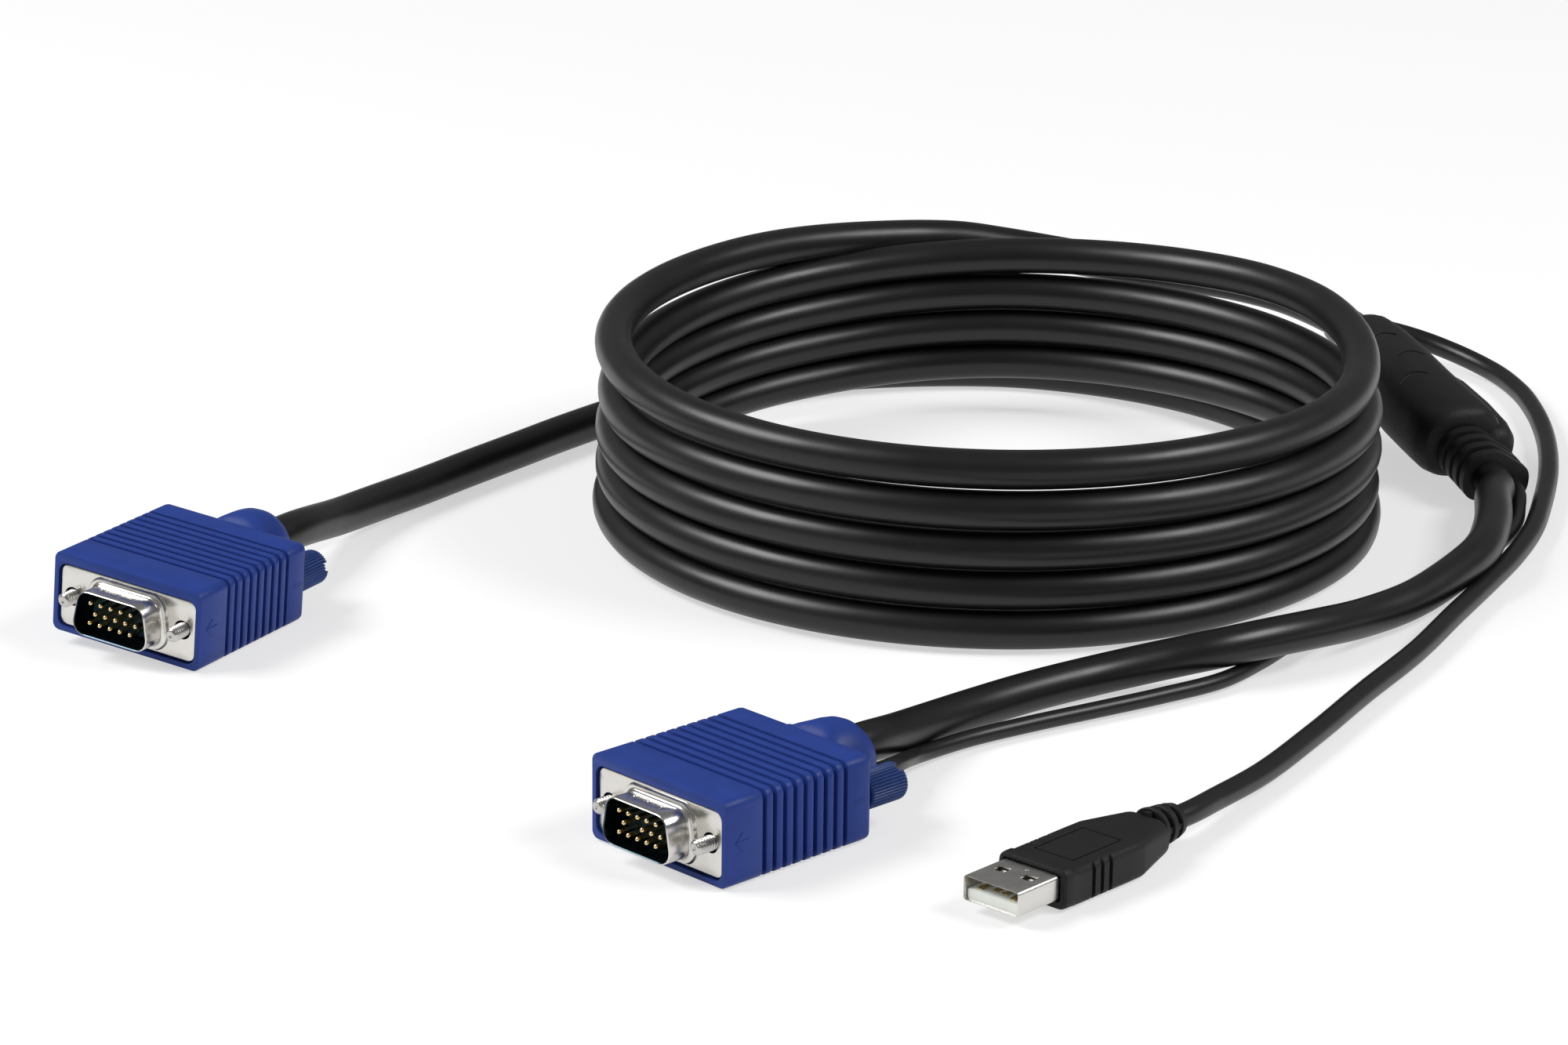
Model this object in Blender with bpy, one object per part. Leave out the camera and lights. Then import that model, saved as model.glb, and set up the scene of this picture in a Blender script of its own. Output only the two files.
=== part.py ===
"""A KVM cable: two 15-way video plugs and a USB plug on a coiled cable with a moulded splitter.

Metres, +Z up. The origin is the centre of plug B's underside on the table. +Y runs away from the
viewer and +X to the right. In a plug's own frame x is across its face, -y points out of the face
and z is up from its underside.
"""
import math

import bmesh
import bpy
from mathutils import Euler, Matrix, Vector

GAP = 0.0003

# Where the plugs and the splitter lie
PLUG_A_CENTRE = (-0.10535, 0.10370)
PLUG_A_YAW = math.radians(-29.9)
PLUG_A_ROLL = math.radians(4.6)
PLUG_A_LIFT = 0.00113
PLUG_B_CENTRE = (0.0, 0.0)
PLUG_B_YAW = math.radians(-46.0)
PLUG_B_ROLL = 0.0
PLUG_B_LIFT = 0.0
USB_FRONT = (0.04303, -0.03484)
USB_YAW = math.radians(-42.1)
SPLITTER_END = (0.1502, 0.1858, 0.0063)
SPLITTER_YAW = math.radians(19.1)
SPLITTER_TILT = math.radians(10.4)

# Hood of a video plug
HOOD_WIDTH = 0.0335
HOOD_DRAFT = 0.0006
HOOD_HEIGHT = 0.0157
HOOD_LENGTH = 0.0345
HOOD_CORNER = 0.0015
HOOD_FRONT_EDGE = 0.0003
HOOD_REAR_EDGE = 0.0009
GROOVE_COUNT = 9
GROOVE_FIRST = 0.0090
GROOVE_PITCH = 0.00239
GROOVE_WIDTH = 0.0010
GROOVE_DEPTH = 0.00055
GROOVE_SLOPE = 0.00012
NECK_LENGTH = 0.0110
NECK_AXIS_Z = 0.0085
NECK_ROOT_HALF_WIDTH = 0.0073
NECK_END_HALF_WIDTH = 0.0055
NECK_ROOT_HALF_HEIGHT = 0.0078
NECK_END_HALF_HEIGHT = 0.0050
NECK_BURIED = 0.0040
NECK_A_SHIFT = 0.0002
NECK_B_SHIFT = 0.0014

# Metal front of a video plug
FACE_Z = 0.0074
FLANGE_MARGIN = 0.0010
FLANGE_HEIGHT = 0.0120
FLANGE_CORNER = 0.0016
FLANGE_THICKNESS = 0.0007
FLANGE_RECESS = 0.0004
D_HALF_WIDTH = 0.00810
D_HEIGHT = 0.0089
D_SLANT = math.radians(10.0)
D_CORNER = 0.0026
D_WALL = 0.00035
D_REACH = 0.00515
STEP_OFFSET = 0.0011
STEP_HEIGHT = 0.0005
INSULATOR_DEPTH = 0.0060
PIN_PITCH = 0.00229
PIN_ROW = 0.00198
PIN_RADIUS = 0.0005
PIN_REACH = 0.00455
PIN_BURIED = 0.0020
SCREW_SPACING = 0.0250
SCREW_HOLE_RADIUS = 0.00185
SCREW_RADIUS = 0.00142
SCREW_ROOT = 0.00110
SCREW_PITCH = 0.000635
SHANK_RADIUS = 0.00120
SCREW_REACH = (0.00275, 0.00340)
KNOB_RADIUS = 0.0034
KNOB_RIB = 0.0003
KNOB_RIBS = 18
KNOB_LENGTH = 0.0082
KNOB_A_FREE_PLAY = (0.00065, 0.0)
KNOB_B_FREE_PLAY = (0.00065, 0.0007)
SLOT_WIDTH = 0.0018
SLOT_DEPTH = 0.0020
SHANK_IN_KNOB = 0.0030
FLANGE_WIDTH = SCREW_SPACING + 2 * (SCREW_HOLE_RADIUS + FLANGE_MARGIN)

# USB plug
USB_WIDTH = 0.0120
USB_HEIGHT = 0.0045
USB_AXIS_Z = 0.0040
USB_WALL = 0.0003
USB_CORNER = 0.0005
USB_EXPOSED = 0.0104
USB_BURIED = 0.0018
WINDOW_WIDTH = 0.0025
WINDOW_LENGTH = 0.0022
WINDOW_START = 0.0052
WINDOW_HALF_SPACING = 0.0029
TONGUE_WIDTH = 0.0110
TONGUE_THICKNESS = 0.0018
TONGUE_SETBACK = 0.0005
CONTACT_WIDTH = 0.0011
CONTACT_THICKNESS = 0.0002
CONTACT_END = 0.0098
MOULD_WIDTH = 0.0148
MOULD_HEIGHT = 0.0073
MOULD_CORNER = 0.0013
MOULD_END = 0.0315
MOULD_GROOVE_FIRST = 0.0174
MOULD_GROOVE_PITCH = 0.00225
MOULD_GROOVE_WIDTH = 0.0009
MOULD_GROOVE_DEPTH = 0.0005
TAPER_END = 0.0403
TAPER_WIDTH = 0.0106
TAPER_HEIGHT = 0.0066
TAPER_CORNER = 0.0024
RELIEF_START = 0.0412
RELIEF_END = 0.0486
RELIEF_CORE = 0.0027
RELIEF_AXIS_Z = 0.0039

# Cables and coil
THICK_RADIUS = 0.0035
THIN_RADIUS = 0.00155
USB_CABLE_RADIUS = 0.0021
COIL_CENTRE = (0.0482, 0.1734)
COIL_RADIUS = 0.0749
TURN_COUNT = 5
TURN_PITCH = 0.00792
COIL_FACETS = 48
END_STRAIGHT = 0.0020
THICK_SPACING = 0.0155
LEAD_OUT_SPACING = 0.0115
THIN_SPACING = 0.0080
USB_SPACING = 0.0080
BRANCH_EXIT_X = -0.0020
THIN_EXIT = (0.0052, 0.0062)

# Splitter: length along the thick cable, and where the thin cable and the USB cable leave it
SPLITTER_LENGTH = 0.0640
THIN_HOLE = (0.0053, -0.0019)
USB_EXIT = (0.0112, 0.0430, -0.0036)
SLEEVE_START = 0.0300
SLEEVE_RADIUS = 0.0032
SLEEVE_EDGE = 0.0006
RIDGE_COUNT = 4
RIDGE_PITCH = 0.0034
RIDGE_WIDTH = 0.0022
RIDGE_EDGE = 0.0002
RIDGE_THICK_RADIUS = 0.0054
RIDGE_THIN_RADIUS = 0.0041
RIDGE_DEPTH = 0.0010
RIDGE_BURIED = 0.0024
LOBE_CENTRE = (0.0080, -0.0010)
LOBE_START = 0.0112


def material(name, colour, roughness, metallic):
    made = bpy.data.materials.new(name)
    made.use_nodes = True
    shader = made.node_tree.nodes["Principled BSDF"]
    shader.inputs["Base Color"].default_value = (colour[0], colour[1], colour[2], 1.0)
    shader.inputs["Roughness"].default_value = roughness
    shader.inputs["Metallic"].default_value = metallic
    made.diffuse_color = (colour[0], colour[1], colour[2], 1.0)
    return made


def add(name, data, slot, parent):
    item = bpy.data.objects.new(name, data)
    bpy.context.scene.collection.objects.link(item)
    if not item.data.materials:
        item.data.materials.append(slot)
    item.parent = parent
    return item


def frame(name, location, rotation, parent=None):
    item = bpy.data.objects.new(name, None)
    bpy.context.scene.collection.objects.link(item)
    item.location = location
    item.rotation_euler = rotation
    item.parent = parent
    return item


def loft(name, rings, loop=False):
    """A closed solid through rings of equal length, capped at both ends, or joined end to end."""
    mesh = bmesh.new()
    layers = [[mesh.verts.new(point) for point in ring] for ring in rings]
    count = len(rings[0])
    pairs = list(zip(layers, layers[1:]))
    if loop:
        pairs.append((layers[-1], layers[0]))
    for low, high in pairs:
        for i in range(count):
            j = (i + 1) % count
            mesh.faces.new((low[i], low[j], high[j], high[i]))
    if not loop:
        mesh.faces.new(list(reversed(layers[0])))
        mesh.faces.new(layers[-1])
    bmesh.ops.recalc_face_normals(mesh, faces=mesh.faces)
    data = bpy.data.meshes.new(name)
    mesh.to_mesh(data)
    mesh.free()
    return data


def smooth(item, degrees=35.0):
    item.data.shade_smooth()
    item.data.set_sharp_from_angle(angle=math.radians(degrees))


def rounded(width, height, corner, centre_z=0.0, steps=4, centre_x=0.0):
    """Rounded rectangle in x and z, counter-clockwise seen from the front."""
    points = []
    for sign_x, sign_z, start in ((1, 1, 0), (-1, 1, 90), (-1, -1, 180), (1, -1, 270)):
        for k in range(steps + 1):
            angle = math.radians(start + 90.0 * k / steps)
            x = sign_x * (width / 2 - corner) + corner * math.cos(angle)
            z = sign_z * (height / 2 - corner) + corner * math.sin(angle)
            points.append((centre_x + x, centre_z + z))
    return points


def d_shape(grow, steps=4):
    """Outline of the D-shaped shell about its own centre, wide side down, grown outwards."""
    half = D_HEIGHT / 2 + grow
    lean = math.tan(D_SLANT)
    side = D_HALF_WIDTH + grow / math.cos(D_SLANT)
    corners = ((side - lean * half, half), (-side + lean * half, half),
               (-side - lean * half, -half), (side + lean * half, -half))
    radius = D_CORNER + grow
    points = []
    for k in range(4):
        here = Vector(corners[k])
        before = (Vector(corners[k - 1]) - here).normalized()
        after = (Vector(corners[(k + 1) % 4]) - here).normalized()
        half_angle = before.angle(after) / 2
        middle = here + (before + after).normalized() * (radius / math.sin(half_angle))
        first = here + before * (radius / math.tan(half_angle)) - middle
        last = here + after * (radius / math.tan(half_angle)) - middle
        for step in range(steps + 1):
            way = first.lerp(last, step / steps).normalized() * radius
            points.append(tuple(middle + way))
    return points


def star(outline, angles):
    """The outline read at the given directions from its centre."""
    found = []
    for angle in angles:
        direction = Vector((math.cos(angle), math.sin(angle)))
        best = 0.0
        for k, start in enumerate(outline):
            a = Vector(start)
            b = Vector(outline[(k + 1) % len(outline)])
            edge = b - a
            cross = direction.x * edge.y - direction.y * edge.x
            if abs(cross) < 1e-12:
                continue
            reach = (a.x * edge.y - a.y * edge.x) / cross
            along = (a.x * direction.y - a.y * direction.x) / cross
            if -1e-6 <= along <= 1 + 1e-6 and reach > best:
                best = reach
        found.append((direction.x * best, direction.y * best))
    return found


def ring_at(outline, y, centre_z=0.0):
    return [(x, y, z + centre_z) for x, z in outline]


def oval(half_width, half_height, power, centre_x, centre_z, count=28):
    points = []
    for k in range(count):
        angle = 2 * math.pi * k / count
        c = math.cos(angle)
        s = math.sin(angle)
        x = math.copysign(abs(c) ** (2 / power), c) * half_width
        z = math.copysign(abs(s) ** (2 / power), s) * half_height
        points.append((centre_x + x, centre_z + z))
    return points


def circle(radius, count, centre_x=0.0, centre_z=0.0):
    return [(centre_x + radius * math.cos(2 * math.pi * k / count),
             centre_z + radius * math.sin(2 * math.pi * k / count)) for k in range(count)]


def lathe(name, profile, count, centre=(0.0, 0.0)):
    """A turned solid along y from (y, radius) pairs."""
    rings = [ring_at(circle(radius, count, centre[0], centre[1]), y) for y, radius in profile]
    return loft(name, rings)


def apply_boolean(target, cutter, operation):
    step = target.modifiers.new(operation.lower(), "BOOLEAN")
    step.operation = operation
    step.solver = "EXACT"
    step.object = cutter
    cutter.hide_render = True
    cutter.display_type = "WIRE"


def guide(name, data, parent):
    item = bpy.data.objects.new(name, data)
    bpy.context.scene.collection.objects.link(item)
    item.parent = parent
    item.hide_render = True
    item.display_type = "WIRE"
    return item


def several(name, solids):
    """One mesh made of separate solids, each given as a list of rings."""
    mesh = bmesh.new()
    for rings in solids:
        data = loft("solid", rings)
        mesh.from_mesh(data)
        bpy.data.meshes.remove(data)
    made = bpy.data.meshes.new(name)
    mesh.to_mesh(made)
    mesh.free()
    return made


def cable(name, points, radius, slot, resolution):
    curve = bpy.data.curves.new(name, "CURVE")
    curve.dimensions = "3D"
    curve.bevel_depth = radius
    curve.bevel_resolution = resolution
    curve.use_fill_caps = True
    curve.twist_mode = "MINIMUM"
    line = curve.splines.new("POLY")
    line.points.add(len(points) - 1)
    for point, place in zip(line.points, points):
        point.co = (place[0], place[1], place[2], 1.0)
    return add(name, curve, slot, None)


def curved(points, spacing):
    """A smooth line through the points, sampled about every spacing, straight at both ends."""
    places = [Vector(p) for p in points]
    inner = places[1:-1]
    spans = [(b - a).length for a, b in zip(inner, inner[1:])]
    slopes = [(b - a) / span for a, b, span in zip(inner, inner[1:], spans)]
    tangents = [(places[1] - places[0]).normalized()]
    for k in range(1, len(inner) - 1):
        both = spans[k - 1] + spans[k]
        tangents.append((slopes[k] * spans[k - 1] + slopes[k - 1] * spans[k]) / both)
    tangents.append((places[-1] - places[-2]).normalized())
    fine = []
    for k, span in enumerate(spans):
        for step in range(20):
            t = step / 20
            fine.append(inner[k] * (2 * t ** 3 - 3 * t ** 2 + 1)
                        + tangents[k] * (span * (t ** 3 - 2 * t ** 2 + t))
                        + inner[k + 1] * (3 * t ** 2 - 2 * t ** 3)
                        + tangents[k + 1] * (span * (t ** 3 - t ** 2)))
    fine.append(inner[-1])
    lengths = [0.0]
    for a, b in zip(fine, fine[1:]):
        lengths.append(lengths[-1] + (b - a).length)
    count = max(2, round(lengths[-1] / spacing))
    result = [places[0]]
    place = 0
    for k in range(count + 1):
        wanted = lengths[-1] * k / count
        while place < len(fine) - 2 and lengths[place + 1] < wanted:
            place += 1
        part = (wanted - lengths[place]) / max(lengths[place + 1] - lengths[place], 1e-9)
        result.append(fine[place].lerp(fine[place + 1], min(max(part, 0.0), 1.0)))
    result.append(places[-1])
    return result


def hood_rings():
    """Sections of the hood from front to rear with the nine grip grooves."""
    front = -HOOD_LENGTH / 2
    rear = HOOD_LENGTH / 2

    def section(y, depth):
        width = HOOD_WIDTH - HOOD_DRAFT * (y - front) / HOOD_LENGTH
        return ring_at(rounded(width - 2 * depth, HOOD_HEIGHT - 2 * depth, HOOD_CORNER - depth,
                               HOOD_HEIGHT / 2, 3), y)
    rings = [section(front, HOOD_FRONT_EDGE), section(front + HOOD_FRONT_EDGE, 0.0)]
    for k in range(GROOVE_COUNT):
        middle = front + GROOVE_FIRST + k * GROOVE_PITCH
        low = middle - GROOVE_WIDTH / 2
        high = middle + GROOVE_WIDTH / 2
        rings += [section(low, 0.0), section(low + GROOVE_SLOPE, GROOVE_DEPTH),
                  section(high - GROOVE_SLOPE, GROOVE_DEPTH), section(high, 0.0)]
    rings += [section(rear - HOOD_REAR_EDGE, 0.0),
              section(rear - HOOD_REAR_EDGE * 0.3, HOOD_REAR_EDGE * 0.3),
              section(rear, HOOD_REAR_EDGE)]
    return rings


def neck_rings(shift):
    """The domed neck behind the hood, from inside the hood to its flat end."""
    rear = HOOD_LENGTH / 2
    rings = []
    for y, width, height in ((-NECK_BURIED, 1.0, 1.0), (GAP, 1.0, 1.0), (0.30 * NECK_LENGTH, 0.97, 0.96),
                             (0.60 * NECK_LENGTH, 0.86, 0.75), (0.85 * NECK_LENGTH, 0.55, 0.39),
                             (NECK_LENGTH, 0.0, 0.0)):
        half_width = NECK_END_HALF_WIDTH + (NECK_ROOT_HALF_WIDTH - NECK_END_HALF_WIDTH) * width
        half_height = NECK_END_HALF_HEIGHT + (NECK_ROOT_HALF_HEIGHT - NECK_END_HALF_HEIGHT) * height
        rings.append(ring_at(oval(half_width, half_height, 2.3, shift, NECK_AXIS_Z), rear + y))
    return rings


def build_plug(prefix, base, slots, missing, shift, plays, slot_angles):
    face = -HOOD_LENGTH / 2
    flange_front = face + FLANGE_RECESS
    rear = HOOD_LENGTH / 2
    screws = (-SCREW_SPACING / 2, SCREW_SPACING / 2)

    # Hood: moulded body, neck, front pocket, bay for the connector's back, two screw bores
    hood = add(prefix + "_hood", loft(prefix + "_hood", hood_rings()), slots["hood"], base)
    neck = guide(prefix + "_neck_shape", loft(prefix + "_neck_shape", neck_rings(shift)), base)
    apply_boolean(hood, neck, "UNION")
    pocket_outline = rounded(FLANGE_WIDTH + 2 * GAP, FLANGE_HEIGHT + 2 * GAP,
                             FLANGE_CORNER + GAP, FACE_Z)
    pocket = guide(prefix + "_pocket", loft(prefix + "_pocket", [
        ring_at(pocket_outline, face - 0.002),
        ring_at(pocket_outline, flange_front + FLANGE_THICKNESS + GAP)]), base)
    apply_boolean(hood, pocket, "DIFFERENCE")
    bay_outline = d_shape(-D_WALL)
    bay = guide(prefix + "_bay", loft(prefix + "_bay", [
        ring_at(bay_outline, face - 0.001, FACE_Z),
        ring_at(bay_outline, face + FLANGE_RECESS + INSULATOR_DEPTH + GAP, FACE_Z)]), base)
    apply_boolean(hood, bay, "DIFFERENCE")
    bores = guide(prefix + "_bores", several(prefix + "_bores", [
        [ring_at(circle(SCREW_HOLE_RADIUS, 16, x, FACE_Z), face - 0.003),
         ring_at(circle(SCREW_HOLE_RADIUS, 16, x, FACE_Z), rear + 0.003)] for x in screws]), base)
    apply_boolean(hood, bores, "DIFFERENCE")
    smooth(hood, 30)

    # Metal face: flange, raised step and D-shaped shroud in one stamped piece
    plate_outline = rounded(FLANGE_WIDTH, FLANGE_HEIGHT, FLANGE_CORNER)
    outer = d_shape(0.0)
    angles = sorted(set(round(math.atan2(z, x), 5) for x, z in plate_outline + outer))
    kept = []
    for angle in angles:
        if not kept or angle - kept[-1] > 0.02:
            kept.append(angle)
    inner = star(d_shape(-D_WALL), kept)
    lip = star(d_shape(-D_WALL * 0.4), kept)
    wall = star(outer, kept)
    step = star(d_shape(STEP_OFFSET), kept)
    plate = star(plate_outline, kept)
    rim = face - D_REACH
    shell = add(prefix + "_shell", loft(prefix + "_shell", [
        ring_at(inner, flange_front + FLANGE_THICKNESS, FACE_Z),
        ring_at(inner, rim + 0.00025, FACE_Z),
        ring_at(lip, rim, FACE_Z),
        ring_at(wall, rim + 0.00015, FACE_Z),
        ring_at(wall, flange_front - STEP_HEIGHT - 0.0003, FACE_Z),
        ring_at(star(d_shape(0.0003), kept), flange_front - STEP_HEIGHT, FACE_Z),
        ring_at(star(d_shape(STEP_OFFSET - 0.0003), kept), flange_front - STEP_HEIGHT, FACE_Z),
        ring_at(step, flange_front - STEP_HEIGHT + 0.0003, FACE_Z),
        ring_at(step, flange_front, FACE_Z),
        ring_at(plate, flange_front, FACE_Z),
        ring_at(plate, flange_front + FLANGE_THICKNESS, FACE_Z)], loop=True), slots["metal"], base)
    holes = guide(prefix + "_face_holes", several(prefix + "_face_holes", [
        [ring_at(circle(SCREW_HOLE_RADIUS, 16, x, FACE_Z), face - 0.003),
         ring_at(circle(SCREW_HOLE_RADIUS, 16, x, FACE_Z), face + 0.004)] for x in screws]), base)
    apply_boolean(shell, holes, "DIFFERENCE")
    smooth(shell, 40)

    # Insulator inside the shroud, with a hole for each pin
    block = d_shape(-D_WALL - GAP)
    insulator = add(prefix + "_insulator", loft(prefix + "_insulator", [
        ring_at(block, flange_front - 0.0002, FACE_Z),
        ring_at(block, face + FLANGE_RECESS + INSULATOR_DEPTH, FACE_Z)]), slots["insulator"], base)
    places = []
    for row, shift_x in ((1, 0.0), (0, 0.5), (-1, 0.0)):
        for k in range(5):
            if (row, k) in missing:
                continue
            places.append(((k - 2.25 + shift_x) * PIN_PITCH, FACE_Z + row * PIN_ROW))
    sockets = guide(prefix + "_pin_holes", several(prefix + "_pin_holes", [
        [ring_at(circle(PIN_RADIUS + 0.0002, 10, x, z), face - 0.002),
         ring_at(circle(PIN_RADIUS + 0.0002, 10, x, z), flange_front + PIN_BURIED + 0.0002)]
        for x, z in places]), base)
    apply_boolean(insulator, sockets, "DIFFERENCE")

    # Pins: round-nosed contacts that share one mesh
    pin_rings = [ring_at(circle(radius, 10), y) for y, radius in (
        (flange_front + PIN_BURIED, PIN_RADIUS), (face - PIN_REACH + 0.0005, PIN_RADIUS),
        (face - PIN_REACH + 0.00015, PIN_RADIUS * 0.75), (face - PIN_REACH, PIN_RADIUS * 0.3))]
    pin_mesh = loft(prefix + "_pin", pin_rings)
    for number, (x, z) in enumerate(places, start=1):
        pin = add(prefix + "_pin_%02d" % number, pin_mesh, slots["gold"], base)
        pin.location = (x, 0.0, z)
        smooth(pin, 50)

    # Thumbscrews: threaded shaft through the hood and ribbed knob behind it
    for side, x, reach, play, angle in zip(("left", "right"), screws, SCREW_REACH, plays,
                                           slot_angles):
        axis = frame(prefix + "_screw_" + side + "_axis", (x, 0.0, FACE_Z), (0.0, angle, 0.0), base)
        tip = face - reach
        profile = [(tip, SCREW_ROOT * 0.75), (tip + 0.0002, SCREW_ROOT)]
        for k in range(8):
            y = tip + 0.00035 + k * SCREW_PITCH
            profile += [(y, SCREW_ROOT), (y + SCREW_PITCH * 0.45, SCREW_RADIUS)]
        knob_front = rear + GAP + play
        profile += [(profile[-1][0] + 0.0003, SHANK_RADIUS), (knob_front + SHANK_IN_KNOB, SHANK_RADIUS)]
        shaft = add(prefix + "_screw_" + side, lathe(prefix + "_screw_" + side, profile, 12),
                    slots["steel"], axis)
        smooth(shaft, 60)
        outline = []
        for k in range(KNOB_RIBS):
            for share, radius in ((0.0, KNOB_RADIUS), (0.42, KNOB_RADIUS),
                                  (0.56, KNOB_RADIUS - KNOB_RIB), (0.86, KNOB_RADIUS - KNOB_RIB)):
                turn = 2 * math.pi * (k + share) / KNOB_RIBS
                outline.append((radius * math.cos(turn), radius * math.sin(turn)))
        knob_end = knob_front + KNOB_LENGTH
        small = [(px * 0.9, pz * 0.9) for px, pz in outline]
        knob = add(prefix + "_knob_" + side, loft(prefix + "_knob_" + side, [
            ring_at(outline, knob_front), ring_at(outline, knob_end - 0.0003),
            ring_at(small, knob_end)]), slots["knob"], axis)
        bore = guide(prefix + "_knob_bore_" + side, lathe(prefix + "_knob_bore_" + side, [
            (knob_front - 0.001, SHANK_RADIUS + GAP),
            (knob_front + SHANK_IN_KNOB + GAP, SHANK_RADIUS + GAP)],
            14), axis)
        apply_boolean(knob, bore, "DIFFERENCE")
        slit = rounded(3 * KNOB_RADIUS, SLOT_WIDTH, 0.0001, 0.0, 1)
        slot = guide(prefix + "_knob_slot_" + side, loft(prefix + "_knob_slot_" + side, [
            ring_at(slit, knob_end - SLOT_DEPTH), ring_at(slit, knob_end + 0.001)]), axis)
        apply_boolean(knob, slot, "DIFFERENCE")


def build_usb(base, slots):
    # Steel shell with two windows
    outside = rounded(USB_WIDTH, USB_HEIGHT, USB_CORNER, 0.0, 3)
    inside = rounded(USB_WIDTH - 2 * USB_WALL, USB_HEIGHT - 2 * USB_WALL, USB_CORNER - USB_WALL, 0.0, 3)
    length = USB_EXPOSED + USB_BURIED
    shell = add("usb_shell", loft("usb_shell", [
        ring_at(inside, length, USB_AXIS_Z), ring_at(inside, 0.0, USB_AXIS_Z),
        ring_at(outside, 0.0, USB_AXIS_Z), ring_at(outside, length, USB_AXIS_Z)], loop=True),
        slots["metal"], base)
    top = USB_AXIS_Z + USB_HEIGHT / 2
    windows = guide("usb_windows", several("usb_windows", [
        [ring_at(rounded(WINDOW_WIDTH, 8 * USB_WALL, USB_WALL, top, 1, x), WINDOW_START),
         ring_at(rounded(WINDOW_WIDTH, 8 * USB_WALL, USB_WALL, top, 1, x), WINDOW_START + WINDOW_LENGTH)]
        for x in (-WINDOW_HALF_SPACING, WINDOW_HALF_SPACING)]), base)
    apply_boolean(shell, windows, "DIFFERENCE")
    smooth(shell, 30)
    # Tongue and its four contacts
    floor = USB_AXIS_Z - USB_HEIGHT / 2 + USB_WALL + GAP
    tongue_outline = rounded(TONGUE_WIDTH, TONGUE_THICKNESS, 0.0001, floor + TONGUE_THICKNESS / 2, 1)
    add("usb_tongue", loft("usb_tongue", [
        ring_at(tongue_outline, TONGUE_SETBACK), ring_at(tongue_outline, length - GAP)]),
        slots["white"], base)
    for number, (x, start) in enumerate(((-0.0035, 0.0014), (-0.0010, 0.0024), (0.0010, 0.0024),
                                         (0.0035, 0.0014)), start=1):
        strip = rounded(CONTACT_WIDTH, CONTACT_THICKNESS, 0.00004, 0.0, 1)
        contact = add("usb_contact_%d" % number, loft("usb_contact_%d" % number, [
            ring_at(strip, start), ring_at(strip, CONTACT_END)]), slots["gold"], base)
        contact.location = (x, 0.0, floor + TONGUE_THICKNESS + CONTACT_THICKNESS / 2 + GAP)
    # Overmould: grip with three side grooves, faceted taper, ringed strain relief
    rows = [(USB_EXPOSED, MOULD_WIDTH - 0.0008, MOULD_HEIGHT - 0.0008, MOULD_CORNER),
            (USB_EXPOSED + 0.0004, MOULD_WIDTH, MOULD_HEIGHT, MOULD_CORNER)]
    for k in range(3):
        y = MOULD_GROOVE_FIRST + k * MOULD_GROOVE_PITCH
        narrow = MOULD_WIDTH - 2 * MOULD_GROOVE_DEPTH
        rows += [(y, MOULD_WIDTH, MOULD_HEIGHT, MOULD_CORNER),
                 (y + 0.0001, narrow, MOULD_HEIGHT, MOULD_CORNER),
                 (y + MOULD_GROOVE_WIDTH - 0.0001, narrow, MOULD_HEIGHT, MOULD_CORNER),
                 (y + MOULD_GROOVE_WIDTH, MOULD_WIDTH, MOULD_HEIGHT, MOULD_CORNER)]
    rows += [(MOULD_END, MOULD_WIDTH, MOULD_HEIGHT, MOULD_CORNER),
             (TAPER_END, TAPER_WIDTH, TAPER_HEIGHT, TAPER_CORNER),
             (TAPER_END + 0.0006, TAPER_WIDTH - 0.0012, TAPER_HEIGHT - 0.0008, TAPER_CORNER)]
    centre = MOULD_HEIGHT / 2
    rings = [ring_at(rounded(w, h, r, centre), y) for y, w, h, r in rows]
    mould = add("usb_overmould", loft("usb_overmould", rings), slots["pvc"], base)
    profile = [(TAPER_END - 0.002, RELIEF_CORE), (RELIEF_START, RELIEF_CORE)]
    spacing = (RELIEF_END - RELIEF_START) / 3
    for k in range(3):
        start = RELIEF_START + k * spacing
        radius = 0.0038 - 0.0004 * k
        last = start + spacing * (0.62 if k < 2 else 1.0)
        profile += [(start, radius), (last, radius - 0.00015)]
        if k < 2:
            profile += [(last + 0.0001, RELIEF_CORE), (start + spacing * 0.98, RELIEF_CORE)]
    relief_shape = guide("usb_relief_shape", lathe("usb_relief_shape", profile, 20,
                                                   (0.0, RELIEF_AXIS_Z)), base)
    apply_boolean(mould, relief_shape, "UNION")
    pocket_outline = rounded(USB_WIDTH + 2 * GAP, USB_HEIGHT + 2 * GAP, USB_CORNER + GAP, USB_AXIS_Z, 3)
    pocket = guide("usb_pocket", loft("usb_pocket", [
        ring_at(pocket_outline, USB_EXPOSED - 0.001),
        ring_at(pocket_outline, USB_EXPOSED + USB_BURIED + GAP)]), base)
    apply_boolean(mould, pocket, "DIFFERENCE")
    smooth(mould, 30)


def hull(small_x, small_z, large, small, count=28):
    """Outline around a large circle at the centre and a small one beside it."""
    points = []
    for k in range(count):
        angle = 2 * math.pi * k / count
        c = math.cos(angle)
        s = math.sin(angle)
        if small_x * c + small_z * s + small > large:
            points.append((small_x + small * c, small_z + small * s))
        else:
            points.append((large * c, large * s))
    return points


def ridge_outline(inset):
    """Outline round the thick cable and the thin one beside it."""
    return hull(THIN_HOLE[0], THIN_HOLE[1], RIDGE_THICK_RADIUS - inset, RIDGE_THIN_RADIUS - inset)


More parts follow.
